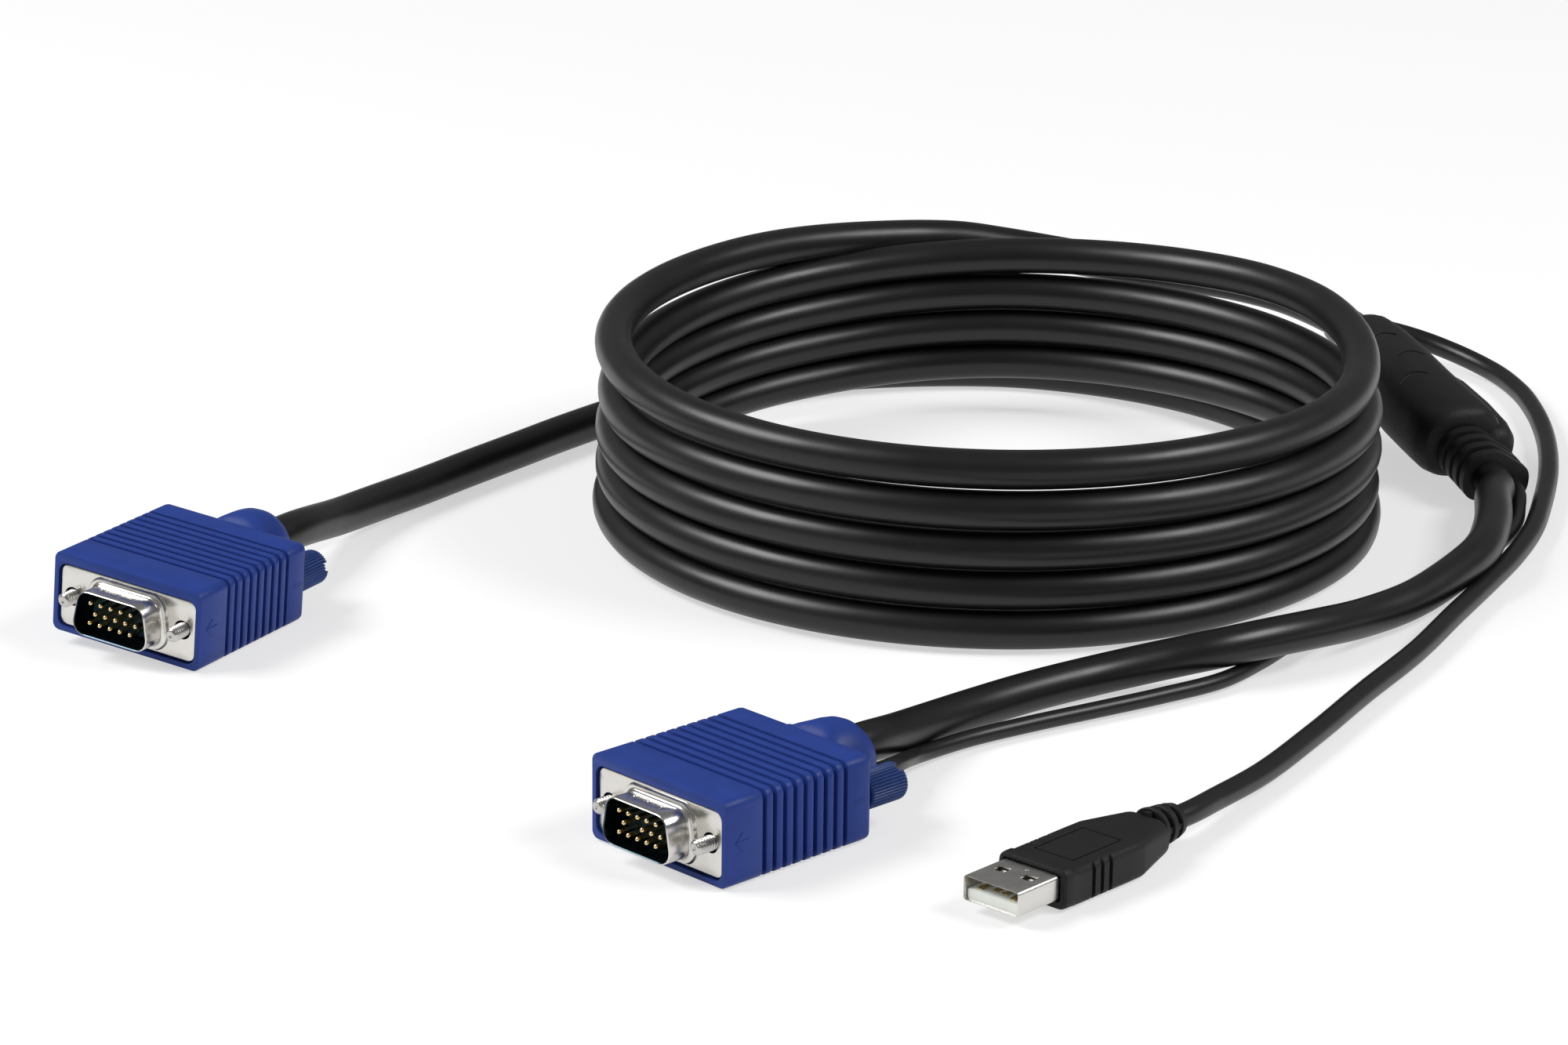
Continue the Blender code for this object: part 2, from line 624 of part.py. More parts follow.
def build_splitter(base, slots):
    # Body in sections from the ridged end to the coil end: share of the length, then half width,
    # half height and centre in millimetres
    rows = ((0.206, 6.6, 6.4, 0.3, 0.4), (0.222, 8.1, 7.5, 0.2, 0.4), (0.266, 9.1, 8.2, 0.0, 0.4),
            (0.406, 8.8, 8.5, -0.2, 0.3), (0.520, 8.6, 8.4, -0.6, 0.25), (0.625, 8.3, 8.2, -0.5, 0.2),
            (0.750, 7.8, 7.7, -0.2, 0.1), (0.845, 7.2, 7.2, 0.1, 0.0), (0.906, 6.7, 6.8, 0.2, 0.0),
            (0.969, 6.0, 6.1, 0.1, 0.0), (1.0, 5.0, 5.2, 0.0, 0.0))
    rings = [ring_at(oval(w / 1000, h / 1000, 2.5, x / 1000, z / 1000, 32), share * SPLITTER_LENGTH)
             for share, w, h, x, z in rows]
    body = add("splitter_body", loft("splitter_body", rings), slots["pvc"], base)
    relief = []
    for k in range(RIDGE_COUNT):
        start = k * RIDGE_PITCH
        relief += [ring_at(ridge_outline(RIDGE_EDGE), start),
                   ring_at(ridge_outline(0.0), start + RIDGE_EDGE),
                   ring_at(ridge_outline(0.0), start + RIDGE_WIDTH),
                   ring_at(ridge_outline(RIDGE_DEPTH), start + RIDGE_WIDTH + RIDGE_EDGE),
                   ring_at(ridge_outline(RIDGE_DEPTH), start + RIDGE_PITCH - RIDGE_EDGE)]
    relief.append(ring_at(ridge_outline(RIDGE_DEPTH), RIDGE_COUNT * RIDGE_PITCH + RIDGE_BURIED))
    ridges = guide("splitter_ridges", loft("splitter_ridges", relief), base)
    apply_boolean(body, ridges, "UNION")
    # Second barrel for the USB cable, with a rounded nose
    lobe_rows = ((0.0, 1.6, 2.2), (0.0006, 3.2, 3.6), (0.0024, 4.4, 4.6), (0.0060, 4.8, 5.1),
                 (0.0140, 4.8, 5.1), (0.0240, 4.0, 4.6), (0.0308, 2.6, 3.4))
    lobe = guide("splitter_lobe", loft("splitter_lobe", [
        ring_at(oval(w / 1000, h / 1000, 2.4, LOBE_CENTRE[0], LOBE_CENTRE[1], 20), LOBE_START + y)
        for y, w, h in lobe_rows]), base)
    apply_boolean(body, lobe, "UNION")
    # Short sleeve where the USB cable leaves backwards beside the coil cable
    sleeve = guide("splitter_sleeve", lathe("splitter_sleeve", [
        (SLEEVE_START, SLEEVE_RADIUS), (USB_EXIT[1] - SLEEVE_EDGE, SLEEVE_RADIUS),
        (USB_EXIT[1], SLEEVE_RADIUS - SLEEVE_EDGE)], 18, (USB_EXIT[0], USB_EXIT[2])), base)
    apply_boolean(body, sleeve, "UNION")
    smooth(body, 35)


# Hand-chosen centre lines in millimetres
LEAD_IN = ((-78.2, 158.2, 5.2), (-72.8, 168.9, 4.1), (-64.3, 181.8, 3.5), (-55.5, 194.0, 3.5),
           (-46.5, 206.1, 3.5), (-36.5, 219.6, 3.5), (-24.2, 234.2, 3.5), (-6.8, 249.1, 3.5),
           (13.6, 260.3, 3.5), (35.5, 265.7, 3.5), (57.6, 265.8, 3.5), (76.0, 260.0, 3.5),
           (91.5, 250.4, 3.5), (102.4, 239.8, 3.5), (107.8, 231.3, 3.5), (109.2, 228.4, 3.5))
LEAD_OUT = ((39.6, 254.9, 35.7), (43.5, 256.2, 35.4), (54.1, 258.6, 33.6), (66.5, 260.6, 31.0),
            (82.0, 262.8, 27.8), (94.0, 265.0, 25.4), (104.0, 265.9, 23.6), (114.6, 263.3, 21.6),
            (123.4, 256.4, 19.6))
VGA_BRANCH = ((149.6, 171.5, 6.6), (147.3, 153.4, 6.9), (143.3, 138.4, 6.6), (136.3, 126.7, 5.4),
              (127.6, 115.1, 4.4), (117.7, 104.4, 4.6), (107.8, 93.5, 6.2), (98.4, 86.0, 6.9),
              (89.4, 81.2, 6.6), (77.8, 78.2, 5.0), (66.1, 73.6, 3.8), (54.2, 65.7, 3.5),
              (42.6, 55.4, 3.6), (35.3, 46.5, 4.4), (29.0, 36.4, 6.0))
THIN_BRANCH = ((155.5, 177.5, 2.4), (150.9, 161.0, 1.65), (143.0, 149.5, 1.65), (135.6, 137.0, 1.65),
               (126.0, 124.0, 1.65), (115.0, 111.5, 1.65), (103.5, 98.0, 1.65), (97.0, 87.5, 1.65),
               (89.5, 77.5, 1.65), (77.5, 68.6, 1.65), (65.5, 61.0, 1.65), (53.5, 53.5, 1.65),
               (42.3, 45.8, 1.65), (32.5, 35.0, 2.4))
USB_CABLE = ((141.8, 244.5, 12.2), (135.2, 256.5, 12.0), (128.6, 266.5, 11.4), (126.8, 275.5, 10.4),
             (130.5, 283.0, 9.0), (138.5, 286.8, 7.4), (146.5, 285.6, 5.6), (153.4, 281.6, 4.0),
             (160.8, 273.0, 2.5), (165.3, 258.5, 2.25), (166.9, 243.0, 2.25), (166.9, 225.2, 2.25),
             (164.9, 203.9, 2.25), (161.2, 183.2, 2.25), (156.5, 163.2, 2.25), (151.0, 147.6, 2.25),
             (143.8, 131.0, 2.25), (135.8, 113.4, 2.25), (126.9, 93.3, 2.25), (114.5, 69.6, 2.25),
             (103.4, 47.5, 2.25), (91.4, 25.3, 2.5), (83.8, 13.2, 3.2))


def build():
    for item in list(bpy.data.objects):
        bpy.data.objects.remove(item, do_unlink=True)
    slots = {
        "hood": material("blue_pvc", (0.025, 0.045, 0.21), 0.55, 0.0),
        "knob": material("blue_knob", (0.02, 0.06, 0.25), 0.45, 0.0),
        "metal": material("nickel_plate", (0.66, 0.64, 0.60), 0.32, 1.0),
        "steel": material("screw_steel", (0.62, 0.61, 0.58), 0.28, 1.0),
        "insulator": material("dark_blue_insulator", (0.006, 0.02, 0.05), 0.4, 0.0),
        "gold": material("gold_plate", (0.78, 0.60, 0.32), 0.25, 1.0),
        "white": material("white_plastic", (0.78, 0.78, 0.75), 0.4, 0.0),
        "pvc": material("black_pvc", (0.018, 0.018, 0.02), 0.5, 0.0),
        "jacket": material("black_jacket", (0.028, 0.028, 0.03), 0.38, 0.0),
    }
    plug_a = frame("plug_a_frame", (PLUG_A_CENTRE[0], PLUG_A_CENTRE[1], PLUG_A_LIFT),
                   (0.0, PLUG_A_ROLL, PLUG_A_YAW))
    plug_b = frame("plug_b_frame", (PLUG_B_CENTRE[0], PLUG_B_CENTRE[1], PLUG_B_LIFT),
                   (0.0, PLUG_B_ROLL, PLUG_B_YAW))
    usb = frame("usb_frame", (USB_FRONT[0], USB_FRONT[1], 0.0), (0.0, 0.0, USB_YAW))
    splitter = frame("splitter_frame", SPLITTER_END, (SPLITTER_TILT, 0.0, SPLITTER_YAW))
    build_plug("plug_a", plug_a, slots, (), NECK_A_SHIFT, KNOB_A_FREE_PLAY,
               (math.radians(20), math.radians(-12)))
    build_plug("plug_b", plug_b, slots, ((0, 1),), NECK_B_SHIFT, KNOB_B_FREE_PLAY,
               (math.radians(55), math.radians(8)))
    build_usb(usb, slots)
    build_splitter(splitter, slots)

    # The coil: a turned ring with one bulge for each turn of cable
    profile = []
    for k in range(TURN_COUNT):
        middle = THICK_RADIUS + k * TURN_PITCH
        first = -90 if k == 0 else -62
        last = 90 if k == TURN_COUNT - 1 else 62
        for step in range(5):
            angle = math.radians(first + (last - first) * step / 4)
            profile.append((THICK_RADIUS * math.cos(angle), middle + THICK_RADIUS * math.sin(angle)))
    profile[0] = (0.0004, 0.0)
    profile[-1] = (0.0004, profile[-1][1])
    section = profile + [(-x, z) for x, z in reversed(profile)]
    rings = []
    for k in range(COIL_FACETS):
        turn = 2 * math.pi * k / COIL_FACETS
        rings.append([(COIL_CENTRE[0] + (COIL_RADIUS + x) * math.cos(turn),
                       COIL_CENTRE[1] + (COIL_RADIUS + x) * math.sin(turn), z) for x, z in section])
    coil = add("coil", loft("coil", rings, loop=True), slots["jacket"], None)
    smooth(coil, 50)

    def placed(location, rotation, point):
        turn = Euler(rotation).to_matrix()
        return Vector(location) + turn @ Vector(point)

    def from_plug_a(point):
        return placed((PLUG_A_CENTRE[0], PLUG_A_CENTRE[1], PLUG_A_LIFT),
                      (0.0, PLUG_A_ROLL, PLUG_A_YAW), point)

    def from_plug_b(point):
        return placed((PLUG_B_CENTRE[0], PLUG_B_CENTRE[1], PLUG_B_LIFT),
                      (0.0, PLUG_B_ROLL, PLUG_B_YAW), point)

    def from_usb(point):
        return placed((USB_FRONT[0], USB_FRONT[1], 0.0), (0.0, 0.0, USB_YAW), point)

    def from_splitter(point):
        return placed(SPLITTER_END, (SPLITTER_TILT, 0.0, SPLITTER_YAW), point)

    def scaled(points):
        return [Vector(p) / 1000 for p in points]
    neck_end = HOOD_LENGTH / 2 + NECK_LENGTH + GAP
    lead_in = [from_plug_a((0.0, neck_end, NECK_AXIS_Z)),
               from_plug_a((0.0, neck_end + END_STRAIGHT, NECK_AXIS_Z))] + scaled(LEAD_IN)
    cable("cable_to_coil", curved(lead_in, THICK_SPACING), THICK_RADIUS, slots["jacket"], 3)
    lead_out = scaled(LEAD_OUT) + [from_splitter((0.0, SPLITTER_LENGTH + GAP + END_STRAIGHT, 0.0)),
                                   from_splitter((0.0, SPLITTER_LENGTH + GAP, 0.0))]
    cable("cable_from_coil", curved(lead_out, LEAD_OUT_SPACING), THICK_RADIUS, slots["jacket"], 3)
    branch = [from_splitter((0.0, -GAP, 0.0)), from_splitter((0.0, -GAP - END_STRAIGHT, 0.0))]
    branch += scaled(VGA_BRANCH)
    branch += [from_plug_b((BRANCH_EXIT_X, neck_end + END_STRAIGHT, NECK_AXIS_Z)),
               from_plug_b((BRANCH_EXIT_X, neck_end, NECK_AXIS_Z))]
    cable("video_branch", curved(branch, THICK_SPACING), THICK_RADIUS, slots["jacket"], 3)
    thin = [from_splitter((THIN_HOLE[0], -GAP, THIN_HOLE[1])),
            from_splitter((THIN_HOLE[0], -GAP - END_STRAIGHT, THIN_HOLE[1]))]
    thin += scaled(THIN_BRANCH)
    thin += [from_plug_b((THIN_EXIT[0], neck_end + END_STRAIGHT, THIN_EXIT[1])),
             from_plug_b((THIN_EXIT[0], neck_end, THIN_EXIT[1]))]
    cable("thin_branch", curved(thin, THIN_SPACING), THIN_RADIUS, slots["jacket"], 2)
    line = [from_splitter((USB_EXIT[0], USB_EXIT[1] + GAP, USB_EXIT[2])),
            from_splitter((USB_EXIT[0], USB_EXIT[1] + GAP + END_STRAIGHT, USB_EXIT[2]))]
    line += scaled(USB_CABLE)
    line += [from_usb((0.0, RELIEF_END + GAP + END_STRAIGHT, RELIEF_AXIS_Z)),
             from_usb((0.0, RELIEF_END + GAP, RELIEF_AXIS_Z))]
    cable("usb_cable", curved(line, USB_SPACING), USB_CABLE_RADIUS, slots["jacket"], 2)


build()
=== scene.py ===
"""Visible pieces and finishes of a coiled KVM cable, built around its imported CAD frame.

Metres, +Z up, in the frame's own axes. In a plug's own frame x is across its face, -y points out of
the face and z is up from its underside.
"""
import math

import bmesh
import bpy
from bpy.props import FloatProperty, FloatVectorProperty, PointerProperty
from mathutils import Euler, Matrix, Vector


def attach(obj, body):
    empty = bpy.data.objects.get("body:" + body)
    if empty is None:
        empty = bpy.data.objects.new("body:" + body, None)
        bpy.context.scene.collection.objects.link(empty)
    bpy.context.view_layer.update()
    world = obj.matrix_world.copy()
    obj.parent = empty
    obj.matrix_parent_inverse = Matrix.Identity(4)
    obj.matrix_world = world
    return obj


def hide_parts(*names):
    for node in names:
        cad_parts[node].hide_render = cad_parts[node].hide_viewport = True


bl_info = {
    "name": "KVM cable looks",
    "version": (1, 0, 0),
    "blender": (4, 5, 0),
    "location": "View3D > Sidebar > KVM cable",
    "description": "Builds the plugs, splitter and wound cable of a KVM cable around its CAD frame",
    "category": "Object",
}

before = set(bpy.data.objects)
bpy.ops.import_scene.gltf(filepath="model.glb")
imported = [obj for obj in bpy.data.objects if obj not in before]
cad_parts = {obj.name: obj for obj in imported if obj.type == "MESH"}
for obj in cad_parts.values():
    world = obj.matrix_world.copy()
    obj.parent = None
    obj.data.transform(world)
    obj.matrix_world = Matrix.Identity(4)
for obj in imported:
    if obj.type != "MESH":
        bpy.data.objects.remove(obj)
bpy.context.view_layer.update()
MM = 0.001

# Clearance between pieces, how far a cut starts outside the piece, and flats round a corner
GAP = 0.0003
OVERCUT = 0.003
CORNER_STEPS = 8

# Where the plugs and the splitter lie
PLUG_A = Matrix.LocRotScale(Vector((-0.10535, 0.10370, 0.00113)),
                            Euler((0.0, math.radians(4.6), math.radians(-29.9))), None)
PLUG_B = Matrix.LocRotScale(Vector((0.0, 0.0, 0.0)), Euler((0.0, 0.0, math.radians(-46.0))), None)
USB = Matrix.LocRotScale(Vector((0.04303, -0.03484, 0.0)),
                         Euler((0.0, 0.0, math.radians(-42.1))), None)
SPLITTER = Matrix.LocRotScale(Vector((0.1502, 0.1858, 0.0063)),
                              Euler((math.radians(10.4), 0.0, math.radians(19.1))), None)

# Video plug: hood, neck, face plate with its D-shaped shroud, contacts and thumbscrews
HOOD = (0.0335, 0.0157, 0.0345)
HOOD_DRAFT = 0.0006
HOOD_CORNER = 0.0015
FACE_Y = -HOOD[2] / 2
REAR_Y = HOOD[2] / 2
GROOVE_COUNT = 9
GROOVE_FIRST = 0.0090
GROOVE_PITCH = 0.00239
GROOVE_PROFILE = ((-0.00060, 0.0), (-0.00050, 0.00005), (-0.00044, 0.00020), (-0.00040, 0.00090),
                  (0.00040, 0.00090), (0.00044, 0.00020), (0.00050, 0.00005), (0.00060, 0.0))
MARK_Z = 0.0079
NECK_LENGTH = 0.0110
NECK_AXIS_Z = 0.0085
FACE_Z = 0.0074
FLANGE = (0.0307, 0.0120)
FLANGE_CORNER = 0.0016
FLANGE_THICKNESS = 0.0007
FLANGE_RECESS = 0.0004
D_HALF_WIDTH = 0.00810
D_HEIGHT = 0.0089
D_SLANT = math.radians(10.0)
D_CORNER = 0.0026
D_WALL = 0.00035
D_REACH = 0.00515
STEP_OFFSET = 0.0011
STEP_HEIGHT = 0.0006
INSULATOR_DEPTH = 0.0060
PIN_PITCH = 0.00229
PIN_ROW = 0.00198
PIN_COLUMNS = 5
PIN_RADIUS = 0.0005
PIN_REACH = 0.00455
SCREW_HALF_SPACING = 0.0125
SCREW_HOLE_RADIUS = 0.00185
SCREW_CREST = 0.00142
SCREW_ROOT = 0.00108
SCREW_PITCH = 0.000635
SCREW_REACH = (0.00275, 0.00340)
THREAD_LENGTH_INSIDE = 0.0022
THREAD_SIDES = 28
THREAD_ROW = 0.00006
SHANK_RADIUS = 0.0012
SHANK_IN_KNOB = 0.0030
KNOB_RADIUS = 0.0034
KNOB_LENGTH = 0.0086
KNOB_RIBS = 36
KNOB_BORE = (0.0015, 0.0034)
SLOT_WIDTH = 0.0018
SLOT_DEPTH = 0.0012
# Each plug's frame, its neck's shift to the right, its missing contacts by row and column, and for its
# left and right thumbscrew the knob's play and the slot's angle in degrees
VIDEO_PLUGS = {"plug_a": (PLUG_A, 0.0002, (), (0.00065, 0.0), (20.0, -12.0)),
               "plug_b": (PLUG_B, 0.0014, ((0, 1),), (0.00065, 0.0007), (55.0, 112.0))}

# USB plug
USB_SHELL = (0.0120, 0.0045)
USB_SHELL_WALL = 0.0003
USB_SHELL_LENGTH = 0.0122
USB_AXIS_Z = 0.0040
USB_WINDOW_X = 0.0029
USB_CONTACTS = ((-0.0035, 0.0014), (-0.0010, 0.0024), (0.0010, 0.0024), (0.0035, 0.0014))
RELIEF_END = 0.0486
RELIEF_AXIS_Z = 0.0039
RELIEF_SIDES = 32

# Splitter
SPLITTER_LENGTH = 0.0640
RIDGE_COUNT = 4
RIDGE_PITCH = 0.0034
THIN_HOLE = (0.0053, -0.0019)
USB_EXIT = (0.0112, 0.0430, -0.0036)

# Cables and coil
COIL_CENTRE = Vector((0.0482, 0.1734, 0.0))
END_STRAIGHT = 0.0020
BRANCH_ENTRY = (-0.0020, NECK_AXIS_Z)
THIN_ENTRY = (0.0052, 0.0062)
WINDING_STEP = 15.0

# Centre lines in millimetres, as in the CAD source
LEAD_IN = ((-78.2, 158.2, 5.2), (-72.8, 168.9, 4.1), (-64.3, 181.8, 3.5), (-55.5, 194.0, 3.5),
           (-46.5, 206.1, 3.5), (-36.5, 219.6, 3.5), (-24.2, 234.2, 3.5), (-6.8, 249.1, 3.5),
           (13.6, 260.3, 3.5), (35.5, 265.7, 3.5), (57.6, 265.8, 3.5), (76.0, 260.0, 3.5),
           (91.5, 250.4, 3.5))
LEAD_OUT = ((30.1, 251.7, 36.7), (37.9, 255.0, 36.0), (45.6, 257.0, 35.2), (54.1, 258.6, 33.6),
            (66.5, 260.6, 31.0), (82.0, 262.8, 27.8), (94.0, 265.0, 25.4), (104.0, 265.9, 23.6),
            (114.6, 263.3, 21.6), (123.4, 256.4, 19.6))
VGA_BRANCH = ((149.6, 171.5, 6.6), (147.3, 153.4, 6.9), (143.3, 138.4, 6.6), (136.3, 126.7, 5.4),
              (127.6, 115.1, 4.4), (117.7, 104.4, 4.6), (107.8, 93.5, 6.2), (98.4, 86.0, 6.9),
              (89.4, 81.2, 6.6), (77.8, 78.2, 5.0), (66.1, 73.6, 3.8), (54.2, 65.7, 3.5),
              (42.6, 55.4, 3.6), (35.3, 46.5, 4.4), (29.0, 36.4, 6.0))
THIN_BRANCH = ((155.5, 177.5, 2.4), (150.9, 161.0, 1.65), (143.0, 149.5, 1.65),
               (135.6, 137.0, 1.65), (126.0, 124.0, 1.65), (115.0, 111.5, 1.65),
               (103.5, 98.0, 1.65), (97.0, 87.5, 1.65), (89.5, 77.5, 1.65), (77.5, 68.6, 1.65),
               (65.5, 61.0, 1.65), (53.5, 53.5, 1.65), (42.3, 45.8, 1.65), (32.5, 35.0, 2.4))
USB_CABLE = ((141.8, 244.5, 12.2), (135.2, 256.5, 12.0), (128.6, 266.5, 11.4), (126.8, 275.5, 10.4),
             (130.5, 283.0, 9.0), (138.5, 286.8, 7.4), (146.5, 285.6, 5.6), (153.4, 281.6, 4.0),
             (160.8, 273.0, 2.5), (165.3, 258.5, 2.25), (166.9, 243.0, 2.25), (166.9, 225.2, 2.25),
             (164.9, 203.9, 2.25), (161.2, 183.2, 2.25), (156.5, 163.2, 2.25), (151.0, 147.6, 2.25),
             (143.8, 131.0, 2.25), (135.8, 113.4, 2.25), (126.9, 93.3, 2.25), (114.5, 69.6, 2.25),
             (103.4, 47.5, 2.25), (91.4, 25.3, 2.5), (83.8, 13.2, 3.2))
# Where the long cable joins the coil and where each turn of it passes, as a direction in degrees and a
# radius and a height in millimetres
APPROACH = ((46.0, 84.2, 3.5), (30.0, 80.2, 3.5), (14.0, 77.3, 3.5))
TURNS = (((-5.5, 75.1, 3.75), (-45.0, 74.6, 3.75), (-87.0, 75.6, 3.75), (-178.0, 74.4, 5.0),
          (-237.5, 74.8, 8.6), (-277.0, 74.9, 11.2)),
         ((-5.5, 74.6, 11.25), (-87.0, 74.9, 11.4), (-132.0, 74.4, 11.9), (-178.0, 73.8, 12.5),
          (-237.5, 74.8, 16.1), (-277.0, 74.9, 18.8)),
         ((-5.5, 74.8, 18.75), (-87.0, 74.9, 19.15), (-132.0, 74.4, 19.6), (-178.0, 73.8, 20.0),
          (-237.5, 74.8, 23.6), (-277.0, 74.9, 26.5)),
         ((-5.5, 74.7, 26.25), (-87.0, 74.9, 26.95), (-132.0, 74.2, 27.5), (-178.0, 73.3, 27.5),
          (-237.5, 74.8, 31.3), (-277.0, 74.9, 34.3), (-300.0, 75.5, 35.4), (-317.0, 76.0, 36.3),
          (-335.0, 75.8, 36.4), (-348.0, 75.0, 35.7)),
         ((-5.5, 73.8, 34.2), (-87.0, 73.9, 34.65), (-132.0, 74.0, 35.5), (-178.0, 73.9, 37.5),
          (-237.5, 74.8, 39.1)))

# Stage: lamps as a place, a width and depth, and watts
FLOOR_SIZE = 6.0
FLOOR_Z = -0.0003
PAPER = (0.93, 0.93, 0.93)
PAPER_GLOW = 0.58
WORLD_STRENGTH = 0.24
LAMP_TARGET = Vector((0.0, 0.1, 0.0))
LAMPS = {"key": ((-1.1, 0.10, 1.15), (0.85, 0.60), 22.0),
         "fill": ((1.1, -0.15, 1.10), (0.70, 0.50), 14.0)}

# Camera fitted to the photograph
PHOTO_WIDTH = 2000
FOCAL_PIXELS = 7247.5
SENSOR_WIDTH = 36.0
CAMERA_PLACE = Vector((0.00833, -0.90486, 0.35860))
CAMERA_PITCH = math.radians(18.43)
CAMERA_ROLL = math.radians(0.57)


class CableSettings(bpy.types.PropertyGroup):
    """Sizes that a user would change."""
    thick_diameter: FloatProperty(name="Long cable", description="Diameter of the long cable",
                                  default=0.0075, subtype="DISTANCE", unit="LENGTH")
    thin_diameter: FloatProperty(name="Thin branch", description="Diameter of the thin branch",
                                 default=0.0031, subtype="DISTANCE", unit="LENGTH")
    usb_diameter: FloatProperty(name="USB cable", description="Diameter of the USB cable",
                                default=0.0042, subtype="DISTANCE", unit="LENGTH")


class FinishSettings(bpy.types.PropertyGroup):
    """Colours that a user would change."""
    hood: FloatVectorProperty(name="Hood", description="Colour of the moulded hoods", size=3,
                              default=(0.014, 0.040, 0.225), subtype="COLOR")
    knob: FloatVectorProperty(name="Knob", description="Colour of the thumbscrew knobs", size=3,
                              default=(0.022, 0.050, 0.180), subtype="COLOR")
    jacket: FloatVectorProperty(name="Jacket", description="Colour of the cable jackets", size=3,
                                default=(0.006, 0.006, 0.006), subtype="COLOR")
    moulding: FloatVectorProperty(name="Moulding", description="Colour of the black mouldings",
                                  size=3, default=(0.012, 0.012, 0.012), subtype="COLOR")
    insulator: FloatVectorProperty(name="Insulator", description="Colour of the insulators", size=3,
                                   default=(0.008, 0.055, 0.095), subtype="COLOR")


class Term:
    """A number, a colour or a node's output that can be used in an expression."""

    def __init__(self, tree, value):
        self.tree = tree
        self.value = value

    def link_to(self, socket):
        if isinstance(self.value, bpy.types.NodeSocket):
            self.tree.links.new(self.value, socket)
        else:
            socket.default_value = self.value

    def math(self, operation, *others):
        node = self.tree.nodes.new("ShaderNodeMath")
        node.operation = operation
        for socket, item in zip(node.inputs, (self,) + others):
            item = item if isinstance(item, Term) else Term(self.tree, item)
            item.link_to(socket)
        return Term(self.tree, node.outputs[0])

    def __add__(self, other):
        return self.math("ADD", other)

    __radd__ = __add__

    def __mul__(self, other):
        return self.math("MULTIPLY", other)

    __rmul__ = __mul__

    def __sub__(self, other):
        return self.math("SUBTRACT", other)

    def __rsub__(self, other):
        return Term(self.tree, other).math("SUBTRACT", self)

    def clamped(self):
        return self.math("MAXIMUM", 0.0).math("MINIMUM", 1.0)


class Nodes:
    """A node tree under construction: all its nodes but the maths come from node()."""

    def __init__(self, tree):
        self.tree = tree
        tree.nodes.clear()

    def node(self, kind, output=0, settings=None, sockets=None):
        """One output of a new node, given its settings and its sockets' values or links."""
        made = self.tree.nodes.new(kind)
        for name, value in (settings or {}).items():
            setattr(made, name, value)
        for key, value in (sockets or {}).items():
            item = value if isinstance(value, Term) else Term(self.tree, value)
            item.link_to(made.inputs[key])
        return Term(self.tree, made.outputs[output]) if made.outputs else None


class Finish(Nodes):
    """A material under construction."""

    def __init__(self, name):
        self.material = bpy.data.materials.new(name)
        self.material.use_nodes = True
        super().__init__(self.material.node_tree)

    def place(self):
        return self.node("ShaderNodeTexCoord", "Object")

    def noise(self, scale, detail=2.0, roughness=0.5, distortion=0.0):
        return self.node("ShaderNodeTexNoise", "Fac", sockets={
            "Vector": self.place(), "Scale": scale, "Detail": detail, "Roughness": roughness,
            "Distortion": distortion})

    def blend(self, low, high, share):
        """A colour between two, each three numbers or another blend."""
        low, high = (end if isinstance(end, Term) else tuple(end) + (1.0,) for end in (low, high))
        return self.node("ShaderNodeMix", 2, {"data_type": "RGBA"}, {0: share, 6: low, 7: high})

    def vector_math(self, operation, first, second, output="Vector"):
        return self.node("ShaderNodeVectorMath", output, {"operation": operation},
                         {0: first, 1: second})

    def relief(self, height, distance, strength):
        return self.node("ShaderNodeBump", "Normal", sockets={
            "Height": height, "Distance": distance, "Strength": strength})

    def finished(self, tint, gloss, relief, fixed):
        """The material, with a Principled shader that also has these fixed values."""
        varying = {"Base Color": tint, "Roughness": gloss, "Normal": relief}
        shader = self.node("ShaderNodeBsdfPrincipled", sockets={**fixed, **varying})
        return self.shown(shader)

    def shown(self, shader):
        self.node("ShaderNodeOutputMaterial", sockets={"Surface": shader})
        return self.material


def shade(colour, factor):
    """A colour made lighter or darker by a factor."""
    return tuple(min(1.0, c * factor) for c in colour)


def moulded_blue(name, colour, roughness):
    """Blue plastic with a fine grain."""
    finish = Finish(name)
    patches = finish.noise(260.0, 3.0)
    grain = finish.noise(3000.0, 2.0, 0.6)
    tint = finish.blend(shade(colour, 0.84), shade(colour, 1.16), patches)
    gloss = (grain * 0.16 + (roughness - 0.08)).clamped()
    relief = finish.relief(grain, 0.00007, 0.7)
    return finish.finished(tint, gloss, relief, {"IOR": 1.5, "Specular IOR Level": 0.26})


def moulded_black(name, colour):
    """Black rubbery plastic with a coarser grain."""
    finish = Finish(name)
    patches = finish.noise(220.0, 3.0)
    grain = finish.noise(2600.0, 3.0, 0.65)
    tint = finish.blend(shade(colour, 0.8), shade(colour, 1.25), patches)
    gloss = (grain * 0.2 + 0.42).clamped()
    relief = finish.relief(grain, 0.00010, 0.7)
    return finish.finished(tint, gloss, relief, {"IOR": 1.5, "Specular IOR Level": 0.22})


def jacket(name, colour):
    """Smooth black jacket with faint streaks and a slight sway of its surface."""
    finish = Finish(name)
    streaks = finish.noise(70.0, 4.0, 0.55)
    grain = finish.noise(2200.0, 2.0)
    sway = finish.noise(55.0, 2.0)
    tint = finish.blend(shade(colour, 0.75), shade(colour, 1.35), streaks)
    gloss = (streaks * 0.16 + grain * 0.04 + 0.27).clamped()
    relief = finish.relief(sway * 0.00028 + grain * 0.000006, 1.0, 0.8)
    return finish.finished(tint, gloss, relief, {"IOR": 1.5, "Specular IOR Level": 0.42})


